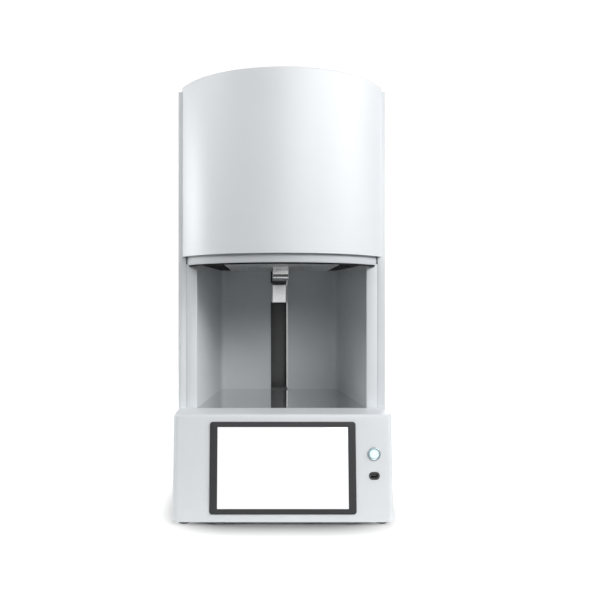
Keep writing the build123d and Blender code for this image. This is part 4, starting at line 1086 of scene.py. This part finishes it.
def lift_screw():
    """Plain journals at both ends and a four-start trapezoidal thread between the blocks."""
    root = SCREW_RADIUS - 0.0011
    crest_points = 4
    around = SCREW_STARTS * crest_points
    thread_low = LOWER_BLOCK_TOP + 0.001
    thread_high = UPPER_BLOCK_BOTTOM - 0.001
    rows_per_turn = 16
    turns = (thread_high - thread_low) / SCREW_LEAD
    count = round(turns * rows_per_turn)
    bm = bmesh.new()

    def ring(z, radii, twist):
        """One row of vertices about the screw's axis."""
        row = []
        for i in range(around):
            radius = radii[i % crest_points]
            turn = twist + 2 * math.pi * (i + 0.5 * (i % 2)) / around
            row.append(bm.verts.new((radius * math.cos(turn), SCREW_Y + radius * math.sin(turn), z)))
        return row

    plain = [SCREW_RADIUS] * crest_points
    shoulder = [root] * crest_points
    rows = [ring(SCREW_LOW[2], [SCREW_RADIUS - 0.0005] * crest_points, 0)]
    rows.append(ring(SCREW_LOW[2] + 0.0005, plain, 0))
    rows.append(ring(thread_low - 0.001, plain, 0))
    rows.append(ring(thread_low - 0.0004, shoulder, 0))
    for step in range(count + 1):
        z = thread_low + (thread_high - thread_low) * step / count
        rows.append(ring(z, [SCREW_RADIUS, SCREW_RADIUS, root, root], 2 * math.pi * turns * step / count))
    last = 2 * math.pi * turns
    rows.append(ring(thread_high + 0.0004, shoulder, last))
    rows.append(ring(thread_high + 0.001, plain, last))
    rows.append(ring(SCREW_HIGH[2] - 0.001, plain, last))
    rows.append(ring(SCREW_HIGH[2], [SCREW_RADIUS - 0.001] * crest_points, last))
    for low, high in zip(rows, rows[1:]):
        join_rows(bm, low, high, closed=True)
    bm.faces.new(rows[0])
    bm.faces.new(rows[-1])
    obj = from_mesh("lift_screw_threaded", bm, ground_steel)
    obj.data.shade_smooth()
    obj.data.set_sharp_from_angle(angle=math.radians(35))
    fit(obj, "bearing_steel", "lift_screw", body="lift_screw")


def screw_bearings():
    """Two sealed ball bearings: steel rings with a dished black seal between them."""
    seal = plastic("bearing_seal", (0.02, 0.02, 0.022), roughness=0.5)
    low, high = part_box("screw_bearings")
    width, outer, inner = 0.006, 0.011, 0.00505
    rings, seals = [], []
    for bottom in (low[2], high[2] - width):
        for name, profile, finish, keep in (
            ("rings", [
                (inner, 0.0), (inner + 0.0014, 0.0), (inner + 0.0016, 0.0006), (outer - 0.0018, 0.0006),
                (outer - 0.0016, 0.0), (outer - 0.0003, 0.0), (outer, 0.0003), (outer, width - 0.0003),
                (outer - 0.0003, width), (outer - 0.0016, width), (outer - 0.0018, width - 0.0006),
                (inner + 0.0016, width - 0.0006), (inner + 0.0014, width), (inner, width),
            ], ground_steel, rings),
            ("seals", [
                (inner + 0.0017, 0.0003), (outer - 0.0019, 0.0003), (outer - 0.0019, width - 0.0003),
                (inner + 0.0017, width - 0.0003),
            ], seal, seals),
        ):
            bm = bmesh.new()
            rows = [
                [
                    bm.verts.new((
                        radius * math.cos(2 * math.pi * step / 48),
                        SCREW_Y + radius * math.sin(2 * math.pi * step / 48), bottom + height,
                    ))
                    for step in range(48)
                ]
                for radius, height in profile
            ]
            for near, far in zip(rows, rows[1:] + rows[:1]):
                join_rows(bm, near, far, closed=True)
            keep.append(from_mesh(name, bm, finish))
    fit(merged("bearing_rings", rings), "bearing_steel", "screw_bearings")
    fit(merged("bearing_seals", seals), "black_plastic")


def lift_motor():
    """Square motor with black laminations between cast end caps, screws and a plug socket."""
    low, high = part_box("lift_motor")
    half = (high[0] - low[0]) / 2
    laminations = plastic("motor_black", (0.024, 0.024, 0.026), 0.5)
    coated("lift_motor", "motor_housing", laminations, "motor_black", 0)
    caps = []
    thick = 0.0098
    for bottom, top in ((high[2] - thick, high[2] - 0.0003), (low[2] + 0.0003, low[2] + thick)):
        side = 2 * half + 0.0001
        cap = slab("cap", rounded_outline(0, SCREW_Y, side, side, 0.0045), bottom, top)
        hole = slab("hole", rounded_outline(0, SCREW_Y, 0.028, 0.028, 0.0139), bottom - 0.001, top + 0.001)
        carve(cap, hole)
        cap.data.materials.append(alloy)
        caps.append(cap)
    for x in (-0.0155, 0.0155):
        for y in (-0.0155, 0.0155):
            place = (x, SCREW_Y + y, low[2] + 0.0004)
            caps.append(lathe("screw", pan_head(0.0027, 0.0003), alloy, place, "-Z", 16))
    fit(merged("motor_end_caps", caps), "plain_aluminium")


lift_screw()
screw_bearings()
coated("guide_rods", "guide_rods_ground", ground_steel, "bearing_steel", 0)
coated("bearing_blocks", "bearing_blocks_machined", alloy, "plain_aluminium", 0.0004)
lift_motor()
sensor_plastic = plastic("sensor_plastic", (0.03, 0.03, 0.033), roughness=0.45)
coated("limit_sensors", "limit_sensor_housings", sensor_plastic, "black_plastic", 0.0006)

# ---- carriage and nut ------------------------------------------------------------------------
# Machined aluminium block that runs on the two rods. Its front plate reaches round the cover
# strip through two lugs and takes the arm's root with four cap screws.


def carriage():
    """The block, with the screws that hold the arm's root and the nut's flange."""
    coated("carriage", "carriage_machined", alloy, "plain_aluminium", 0.0005, body="lift")
    bronze = steel("nut_bronze", (0.72, 0.53, 0.28), roughness=0.3, stretch=(1, 1, 1), depth=0.04)
    coated("lift_nut", "lift_nut_turned", bronze, "nut_brass", 0.0004, body="lift")
    low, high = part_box("carriage")
    screws = []
    for x in (-0.027, 0.027):
        for z in (low[2] + 0.008, high[2] - 0.008):
            screws.append(lathe("screw", [
                (0.0040, 0.0), (0.0040, 0.0028), (0.0037, 0.0032), (0.0021, 0.0032), (0.0021, 0.0012),
            ], ground_steel, (x, low[1], z), "-Y", 24))
    fit(merged("carriage_screws", screws), "bearing_steel", body="lift")


carriage()

# ---- lift arm --------------------------------------------------------------------------------
# Channel folded from 3 mm brushed stainless, closed at its front by a polished nose with a
# bevelled upper and lower edge, welded at the back to the plate that the carriage carries.
# A dark grey guard closes the channel from below, and a dark pad is let into the nose: both are
# painted shade, for the dark under the arm and the grey band across the nose.

polished = steel("polished_stainless", (0.84, 0.845, 0.85), roughness=0.12, stretch=(1, 1, 1), depth=0.02)


def lift_arm():
    """Channel and root plate in one, with the nose as a piece of its own."""
    wall = 0.003
    nose = 0.004
    bend = 0.0022
    half = ARM_HIGH[0]
    top = ARM_HIGH[2]
    drop = 0.020
    root_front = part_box("arm_root_cover")[1][1]
    front = ARM_LOW[1] + nose

    section = [(-half, top - drop)]
    for step in range(6):
        turn = math.radians(90 * step / 5)
        section.append((-half + bend * (1 - math.cos(turn)), top - bend * (1 - math.sin(turn))))
    section += [(-x, z) for x, z in reversed(section)]
    inner = [(-half + wall, top - drop), (-half + wall, top - wall)]
    inner += [(-x, z) for x, z in reversed(inner)]
    outline = section + inner[::-1]
    bm = bmesh.new()
    near = [bm.verts.new((x, front, z)) for x, z in outline]
    far = [bm.verts.new((x, root_front, z)) for x, z in outline]
    join_rows(bm, near, far, closed=True)
    bm.faces.new(near)
    bm.faces.new(far)
    channel = from_mesh("arm_channel", bm, stainless)
    soften(channel, 0.0005, angle=50)
    plate = slab("arm_root_plate", [
        (-half, ARM_LOW[2]), (half, ARM_LOW[2]), (half, top), (-half, top),
    ], -ARM_HIGH[1], -root_front, stainless)
    plate.data.transform(Matrix(((1, 0, 0, 0), (0, 0, -1, 0), (0, 1, 0, 0), (0, 0, 0, 1))))
    soften(plate, 0.0006)
    fit(channel, "probe_metal", "lift_arm", body="lift")
    fit(plate, "probe_metal", body="lift")

    blocks = []
    for left, right in ((-half, -half + 0.0070), (-half + 0.0070, half - 0.0155), (half - 0.0155, half)):
        deep = 0.0012 if left == -half + 0.0070 else 0.0
        face = ARM_LOW[1] + deep
        profile = [
            (front, top - drop), (front, top), (face + 0.0036, top), (face, top - 0.0050),
            (face, top - drop + 0.0030), (face + 0.0018, top - drop),
        ]
        bm = bmesh.new()
        near = [bm.verts.new((left, y, z)) for y, z in profile]
        far = [bm.verts.new((right, y, z)) for y, z in profile]
        join_rows(bm, near, far, closed=True)
        bm.faces.new(near)
        bm.faces.new(far)
        blocks.append(from_mesh("nose", bm, polished))
    nose_piece = merged("arm_nose", blocks)
    soften(nose_piece, 0.0003, angle=25)
    fit(nose_piece, "probe_metal", body="lift")

    # Painted shade: the dark grey guard under the channel and up the root stands for the dark between the
    # nose and the root cover.
    guard_sheet = 0.0010
    guard_play = 0.0002
    guard_face = root_front - guard_sheet
    guard_shade_coat = powder_coat("guard_shade_grey", (0.24, 0.242, 0.245), roughness=0.5, gloss_level=0.3)
    under = slab("guard", [
        (-half, front + guard_sheet), (half, front + guard_sheet),
        (half, root_front - guard_play), (-half, root_front - guard_play),
    ], top - drop - guard_sheet, top - drop, guard_shade_coat)
    upright = slab("guard", [
        (-half, guard_face), (half, guard_face),
        (half, root_front - guard_play), (-half, root_front - guard_play),
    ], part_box("arm_root_cover")[1][2] + guard_play, top - drop - guard_sheet, guard_shade_coat)
    fit(merged("arm_guard", [under, upright]), "column_black", body="lift")
    # Painted shade: a dark grey pad across the nose's face, for the grey band below its bright top edge.
    pad_inset = 0.0004
    pad = slab("nose_pad", [
        (-half + pad_inset, ARM_LOW[1] - guard_play), (half - pad_inset, ARM_LOW[1] - guard_play),
        (half - pad_inset, ARM_LOW[1] + nose / 2), (-half + pad_inset, ARM_LOW[1] + nose / 2),
    ], top - 0.0172, top - 0.0120, powder_coat("nose_pad_shade_grey", (0.20, 0.20, 0.204), roughness=0.4))
    fit(pad, "column_black", body="lift")


lift_arm()

# ---- cover on the arm's root -------------------------------------------------------------------
# Satin anodised aluminium cap with rounded front corners that hides the arm's screws where
# they pass the slot.


satin_silver = steel("satin_silver", (0.93, 0.935, 0.94), roughness=0.36, stretch=(1, 1, 12), depth=0.03)


def arm_root_cover():
    """Block with rounded front corners and ends, and a slim seam a little above its lower edge."""
    low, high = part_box("arm_root_cover")
    corner = 0.004
    rounding = 0.0012
    steps = 5

    def outline(inset):
        """The cap's plan, this far inside its skin: square at the back, round at the front."""
        half = high[0] - inset
        front = low[1] + inset
        points = [(-half, high[1])]
        for step in range(9):
            turn = math.radians(90 * step / 8)
            points.append((-half + corner * (1 - math.cos(turn)), front + corner * (1 - math.sin(turn))))
        return points + [(-x, y) for x, y in reversed(points)]

    section = []
    for step in range(steps + 1):
        turn = math.radians(90 * step / steps)
        section.append((rounding * (1 - math.sin(turn)), low[2] + rounding * (1 - math.cos(turn))))
    seam = low[2] + 0.0036
    groove = 0.0004
    section += [
        (0.0, seam - groove), (groove, seam - groove / 2), (groove, seam + groove / 2), (0.0, seam + groove),
    ]
    for step in range(steps + 1):
        turn = math.radians(90 * step / steps)
        section.append((rounding * (1 - math.cos(turn)), high[2] - rounding * (1 - math.sin(turn))))
    bm = bmesh.new()
    rows = [add_row(bm, outline(inset), z) for inset, z in section]
    for below, above in zip(rows, rows[1:]):
        join_rows(bm, below, above, closed=True)
    bm.faces.new(rows[0])
    bm.faces.new(rows[-1])
    obj = from_mesh("arm_root_cap", bm, satin_silver)
    obj.data.shade_smooth()
    obj.data.set_sharp_from_angle(angle=math.radians(40))
    fit(obj, "cover_silver", "arm_root_cover", body="lift")


arm_root_cover()

# ---- plug ----------------------------------------------------------------------------------------
# Stainless plate under a block of vacuum-formed ceramic fibre that closes the chamber, with an
# alumina setter plate on top for the crucible.


def fibre(name, colour=(0.86, 0.84, 0.79)):
    """Ceramic fibre board: dull, chalky and finely pitted."""
    material, nodes, links, shader = nodes_of(name)
    place = nodes.new("ShaderNodeTexCoord")
    strands = nodes.new("ShaderNodeTexNoise")
    strands.inputs["Scale"].default_value = 160.0
    strands.inputs["Detail"].default_value = 8.0
    strands.inputs["Distortion"].default_value = 1.5
    links.new(place.outputs["Object"], strands.inputs["Vector"])
    tone = nodes.new("ShaderNodeValToRGB")
    tone.color_ramp.elements[0].position = 0.3
    tone.color_ramp.elements[0].color = (*[part * 0.86 for part in colour], 1)
    tone.color_ramp.elements[1].position = 0.7
    tone.color_ramp.elements[1].color = (*colour, 1)
    links.new(strands.outputs["Fac"], tone.inputs["Fac"])
    links.new(tone.outputs["Color"], shader.inputs["Base Color"])
    shader.inputs["Roughness"].default_value = 0.95
    shader.inputs["Specular IOR Level"].default_value = 0.15
    bump = nodes.new("ShaderNodeBump")
    bump.inputs["Strength"].default_value = 0.6
    bump.inputs["Distance"].default_value = 0.0006
    links.new(strands.outputs["Fac"], bump.inputs["Height"])
    links.new(bump.outputs["Normal"], shader.inputs["Normal"])
    return material


fibre_board = fibre("ceramic_fibre")
alumina = plastic("alumina", (0.88, 0.86, 0.80), roughness=0.62, grain=0.25, scale=900.0)


def plug():
    """Plate with three countersunk screws, and the fibre and setter above it."""
    coated("plug_plate", "plug_plate_turned", stainless, "probe_metal", 0, body="lift")
    coated("plug_insulation", "plug_fibre", fibre_board, "fibre", 0.001, body="lift")
    coated("setter_plate", "setter_disc", alumina, "ceramic", 0.0005, body="lift")
    low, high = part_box("plug_plate")
    centre = (low[1] + high[1]) / 2
    screws = []
    for spoke in (30, 150, 270):
        turn = math.radians(spoke)
        place = (0.050 * math.cos(turn), centre + 0.050 * math.sin(turn), low[2])
        screws.append(lathe(
            "screw", [(0.0042, 0.0), (0.0042, 0.0004), (0.0019, 0.0004), (0.0019, -0.0008)],
            ground_steel, place, "-Z", 24,
        ))
    fit(merged("plug_plate_screws", screws), "bearing_steel", body="lift")


plug()

# ---- base and frame ----------------------------------------------------------------------------
# White coated pan of 2 mm sheet under the console and tower, and four zinc grey square tubes
# that carry the ceiling plate.

coated("base_pan", "base_pan_folded", white_coat, "white_steel", 0.0004)
zinc = powder_coat("zinc_grey_coat", (0.52, 0.53, 0.54), roughness=0.55)
coated("frame_uprights", "frame_tubes", zinc, "frame_steel", 0)

# ---- behind the screen ---------------------------------------------------------------------------
# The screen module in its plated can, and the control board on four standoffs behind it, with
# six black chips on its back.

plated = steel("plated_can", (0.58, 0.58, 0.575), roughness=0.42, stretch=(1, 1, 1), scale=90.0)
coated("display_panel", "screen_module_can", plated, "module_metal", 0.0004)


def control_board():
    """Green solder mask over a glass board, and the chips that stand on its rear side."""
    mask = plastic("solder_mask", (0.015, 0.115, 0.055), roughness=0.3, grain=0.15, scale=500.0)
    coated("control_board", "control_board_glass", mask, "board_green", 0)
    chip_black = plastic("chip_moulding", (0.018, 0.018, 0.019), roughness=0.55)
    width, height, thickness = 0.150, 0.090, 0.0016
    board_back = panel_place("display_panel")[2] - 0.0045 - 0.012 - thickness
    chips = []
    for column in (-1, 0, 1):
        for row in (-0.5, 0.5):
            outline = rounded_outline(
                column * width / 4, row * height / 3, width / 8 + 0.0002, height / 6 + 0.0002, 0.0004, 2,
            )
            chip = slab("chip", outline, board_back - 0.0041, board_back - 0.0006, chip_black)
            chip.data.transform(on_panel(0, SCREEN_RISE))
            chips.append(chip)
    fit(merged("board_chips", chips), "board_green")


control_board()

# ---- heating chamber -------------------------------------------------------------------------------
# Bare steel casing round three blocks of ceramic fibre. Four hairpin elements hang through the
# lid in alumina clamps, joined by pressed aluminium straps, with a sheathed thermocouple
# between them.

casing_steel = steel("casing_steel", (0.55, 0.555, 0.56), roughness=0.45, stretch=(1, 1, 12), scale=30.0)
coated("furnace_casing", "furnace_casing_rolled", casing_steel, "frame_steel", 0)
coated("insulation_base", "insulation_base_block", fibre_board, "fibre", 0)
coated("insulation_ring", "insulation_ring_block", fibre_board, "fibre", 0)
coated("insulation_lid", "insulation_lid_block", fibre_board, "fibre", 0)


def glazed_element():
    """Disilicide rod: dark grey with a thin brown glassy skin."""
    material, nodes, links, shader = nodes_of("glazed_element")
    place = nodes.new("ShaderNodeTexCoord")
    cloud = nodes.new("ShaderNodeTexNoise")
    cloud.inputs["Scale"].default_value = 70.0
    cloud.inputs["Detail"].default_value = 4.0
    links.new(place.outputs["Object"], cloud.inputs["Vector"])
    tone = nodes.new("ShaderNodeValToRGB")
    tone.color_ramp.elements[0].color = (0.055, 0.050, 0.047, 1)
    tone.color_ramp.elements[1].color = (0.120, 0.100, 0.085, 1)
    links.new(cloud.outputs["Fac"], tone.inputs["Fac"])
    links.new(tone.outputs["Color"], shader.inputs["Base Color"])
    gloss = nodes.new("ShaderNodeMapRange")
    gloss.inputs["To Min"].default_value = 0.25
    gloss.inputs["To Max"].default_value = 0.45
    links.new(cloud.outputs["Fac"], gloss.inputs["Value"])
    links.new(gloss.outputs["Result"], shader.inputs["Roughness"])
    shader.inputs["Metallic"].default_value = 0.4
    shader.inputs["Coat Weight"].default_value = 0.6
    return material


def element_clamps():
    """Alumina blocks, each with two clamp screws through its outer side."""
    coated("element_clamps", "element_clamp_blocks", alumina, "ceramic", 0.0006)
    low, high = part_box("element_clamps")
    centre = Vector(((low[0] + high[0]) / 2, (low[1] + high[1]) / 2, 0))
    heads = []
    for spoke in (45, 135, 225, 315):
        turn = math.radians(spoke)
        outward = Vector((math.cos(turn), math.sin(turn), 0))
        along = Vector((-math.sin(turn), math.cos(turn), 0))
        for side in (-0.020, 0.020):
            head = lathe("head", pan_head(0.0028, 0.0016), ground_steel, (0, 0, 0), "Z", 20)
            place = centre + outward * 0.072 + along * side + Vector((0, 0, (low[2] + high[2]) / 2))
            head.data.transform(Matrix((
                (along.x, 0, outward.x, place.x), (along.y, 0, outward.y, place.y),
                (0, 1, 0, place.z), (0, 0, 0, 1),
            )))
            heads.append(head)
    fit(merged("clamp_screws", heads), "bearing_steel")


def thermocouple():
    """Alumina sheath with a round tip below a turned head with two terminal screws."""
    low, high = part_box("thermocouple")
    x, y = (low[0] + high[0]) / 2, (low[1] + high[1]) / 2
    lid_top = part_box("insulation_lid")[1][2]
    sheath = 0.004
    turns = [math.radians(90 * step / 6) for step in range(1, 7)]
    tip = [(sheath * math.sin(turn), low[2] + sheath * (1 - math.cos(turn))) for turn in turns]
    tube = lathe("probe_sheath", tip + [(sheath, lid_top)], alumina, (x, y, 0), "Z", 32)
    head = lathe("probe_head", [
        (0.0130, lid_top), (0.0130, lid_top + 0.003), (0.0110, lid_top + 0.0045), (0.0110, high[2] - 0.0015),
        (0.0100, high[2] - 0.0003), (0.0095, high[2] - 0.0003),
    ], stainless, (x, y, 0), "Z", 40)
    fit(tube, "ceramic", "thermocouple")
    fit(head, "probe_metal")


coated("heating_elements", "heating_element_hairpins", glazed_element(), "element_metal", 0)
element_clamps()
pressed_alloy = steel("pressed_alloy", (0.72, 0.725, 0.73), 0.38, stretch=(1, 1, 1), scale=260.0, depth=0.3)
coated("element_straps", "element_strap_links", pressed_alloy, "strap_aluminium", 0.0005)
thermocouple()

# ---- power parts in the base -----------------------------------------------------------------------
# Transformer for the elements, power controller on a finned heat sink, and the control supply
# in its perforated case, all screwed to the base pan.


def power_transformer():
    """Laminated core, with the taped coil round its middle leg."""
    laminated = steel("laminated_core", (0.24, 0.23, 0.21), roughness=0.55, stretch=(1, 40, 1), depth=0.4)
    coated("power_transformer", "transformer_core", laminated, "core_steel", 0)
    low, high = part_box("power_transformer")
    middle = ((low[0] + high[0]) / 2, (low[1] + high[1]) / 2, (low[2] + high[2]) / 2)
    tape = plastic("coil_tape", (0.62, 0.44, 0.10), roughness=0.5, grain=0.4, scale=180.0)
    skin = 0.0002
    half_height = 0.0298
    coil = slab("transformer_coil", rounded_outline(
        middle[0], middle[1], 0.072 - 2 * skin, high[1] - low[1] - 2 * skin, 0.012, 6,
    ), middle[2] - half_height + skin, middle[2] + half_height - skin)
    coil.data.materials.append(tape)
    leg = slab("leg", rounded_outline(
        middle[0], middle[1], 0.040, 0.0502, 0.0001, 1,
    ), middle[2] - 0.05, middle[2] + 0.05)
    carve(coil, leg)
    soften(coil, 0.0015, angle=50)
    fit(coil, "core_steel")


def power_controller():
    """Black moulded module with terminal screws in the recess at each end."""
    coated("power_controller", "power_module_body", plastic("module_black", (0.03, 0.03, 0.032), 0.42),
           "module_metal", 0.0006)
    low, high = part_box("power_controller")
    x, y = (low[0] + high[0]) / 2, (low[1] + high[1]) / 2
    floor = high[2] - 0.011
    heads = [
        lathe("terminal", pan_head(0.0034, 0.0026), plated, (x + across, y + along, floor), "Z", 20)
        for along in (-0.037, 0.037)
        for across in (-0.018, 0.0, 0.018)
    ]
    fit(merged("module_terminals", heads), "bearing_steel")


power_transformer()
coated("heat_sink", "heat_sink_extrusion", alloy, "plain_aluminium", 0)
power_controller()
coated("supply_unit", "supply_unit_case", plated, "module_metal", 0)

# ---- rear screws -------------------------------------------------------------------------------------
# Ten plated pan-head screws with a cross recess hold the rear panel to the side panels' folds.

REAR_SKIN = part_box("rear_panel")[1][1]


def rear_screws():
    """Domed heads where the rear panel has its holes."""
    low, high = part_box("rear_screws")
    radius, height, rows = 0.003, 0.002, 5
    heads = []
    for x in (low[0] + radius, high[0] - radius):
        for row in range(rows):
            z = low[2] + radius + (high[2] - low[2] - 2 * radius) * row / (rows - 1)
            head = lathe("head", pan_head(radius, height), ground_steel, (x, REAR_SKIN, z), "Y", 24)
            for width, tall in ((0.0026, 0.0005), (0.0005, 0.0026)):
                recess = slab("recess", rounded_outline(0, 0, width, tall, 0.0001, 1), 0.001, 0.003)
                recess.data.transform(Matrix((
                    (1, 0, 0, x), (0, 0, 1, REAR_SKIN), (0, 1, 0, z), (0, 0, 0, 1),
                )))
                carve(head, recess)
            heads.append(head)
    fit(merged("rear_screw_heads", heads), "bearing_steel", "rear_screws")


rear_screws()

# ---- cooling fans --------------------------------------------------------------------------------------
# Two 60 mm fans behind round openings in the rear panel: square black frame, seven-bladed rotor
# on a steel shaft, and a guard of plated wire rings on four sleeves.

fan_plastic = plastic("fan_plastic", (0.026, 0.026, 0.028), roughness=0.5, grain=0.2)
plated_wire = steel("plated_wire", (0.80, 0.805, 0.81), roughness=0.18, stretch=(1, 1, 1), depth=0.02)
FAN_BORE = 0.057
FAN_SCREWS = 0.025
GUARD_WIRE = 0.001


def wire(bm, points, radius, closed=False, steps=10):
    """Round wire along these points, all in one plane that faces the rear."""
    rows = []
    count = len(points)
    for i, point in enumerate(points):
        before = points[i - 1] if closed or i else point
        after = points[(i + 1) % count] if closed or i < count - 1 else point
        along = (Vector(after) - Vector(before)).normalized()
        out = Vector((0, 1, 0))
        side = along.cross(out).normalized()
        rows.append([
            bm.verts.new(
                Vector(point) + side * radius * math.cos(2 * math.pi * step / steps)
                + out * radius * math.sin(2 * math.pi * step / steps)
            )
            for step in range(steps)
        ])
    for near, far in zip(rows, rows[1:] + (rows[:1] if closed else [])):
        join_rows(bm, near, far, closed=True)
    if not closed:
        bm.faces.new(rows[0])
        bm.faces.new(rows[-1])


def fan_guards():
    """Three rings and a cross of wire for each fan, with eyelets and sleeves at the corners."""
    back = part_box("fan_guards")[1][1]
    stand = back - REAR_SKIN
    skin = 0.0001
    y = back - GUARD_WIRE
    eye = 0.003
    bm = bmesh.new()
    sleeves = []
    for rotor in ("base_fan_rotor", "head_fan_rotor"):
        near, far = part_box(rotor)
        x, z = (near[0] + far[0]) / 2, (near[2] + far[2]) / 2
        for share in (1, 2, 3):
            ring = FAN_BORE / 2 * share / 3 - GUARD_WIRE
            wire(bm, [
                (x + ring * math.cos(2 * math.pi * i / 60), y, z + ring * math.sin(2 * math.pi * i / 60))
                for i in range(60)
            ], GUARD_WIRE - skin, closed=True)
        for slope in (-1, 1):
            ends = FAN_SCREWS - eye / 2
            wire(bm, [(x - ends, y, z - slope * ends), (x + ends, y, z + slope * ends)], GUARD_WIRE - skin)
        for across in (-FAN_SCREWS, FAN_SCREWS):
            for up in (-FAN_SCREWS, FAN_SCREWS):
                sleeves.append(lathe("sleeve", [
                    (eye, 0.0), (eye, stand - 0.0012), (eye - 0.0004, stand - 0.0003), (eye - 0.0012, stand),
                ], plated_wire, (x + across, REAR_SKIN, z + up), "Y", 20))
    rings = from_mesh("guard_wires", bm, plated_wire)
    rings.data.shade_smooth()
    rings.data.set_sharp_from_angle(angle=math.radians(60))
    fit(merged("fan_guards_wire", [rings] + sleeves), "guard_chrome", "fan_guards")


coated("fan_frames", "fan_frames_moulded", fan_plastic, "black_plastic", 0)
coated("base_fan_rotor", "base_rotor_moulded", fan_plastic, "black_plastic", 0, body="base_fan")
coated("head_fan_rotor", "head_rotor_moulded", fan_plastic, "black_plastic", 0, body="head_fan")
fan_guards()

# ---- mains inlet and breaker ---------------------------------------------------------------------------
# Flanged three-pin inlet with plated blades, and beside it the breaker with its black rocker.

inlet_black = plastic("inlet_black", (0.028, 0.028, 0.030), roughness=0.42)


def mains_inlet():
    """The moulded inlet, with plated sleeves over its three blades."""
    coated("mains_inlet", "inlet_moulding", inlet_black, "black_plastic", 0.0005)
    low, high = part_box("mains_inlet")
    x, z = (low[0] + high[0]) / 2, (low[2] + high[2]) / 2
    blade = steel("nickel_blade", (0.70, 0.68, 0.63), roughness=0.22, stretch=(1, 1, 1), depth=0.02)
    skin = 0.0001
    root = high[1] - 0.021
    blades = []
    for across, up in ((0.007, -0.002), (-0.007, -0.002), (0.0, 0.002)):
        pin = slab("pin", rounded_outline(0, 0, 0.002 + 2 * skin, 0.004 + 2 * skin, 0.0004, 3), 0, 0.0140)
        pin.data.materials.append(blade)
        pin.data.transform(Matrix((
            (1, 0, 0, x + across), (0, 0, 1, root), (0, 1, 0, z + up), (0, 0, 0, 1),
        )))
        blades.append(pin)
    fit(merged("inlet_blades", blades), "bearing_steel")


mains_inlet()
coated("breaker_body", "breaker_moulding", inlet_black, "black_plastic", 0.0005)
rocker_black = plastic("rocker_black", (0.045, 0.045, 0.048), roughness=0.3)
coated("breaker_rocker", "rocker_moulding", rocker_black, "rocker_red", 0.0006, body="breaker_rocker")
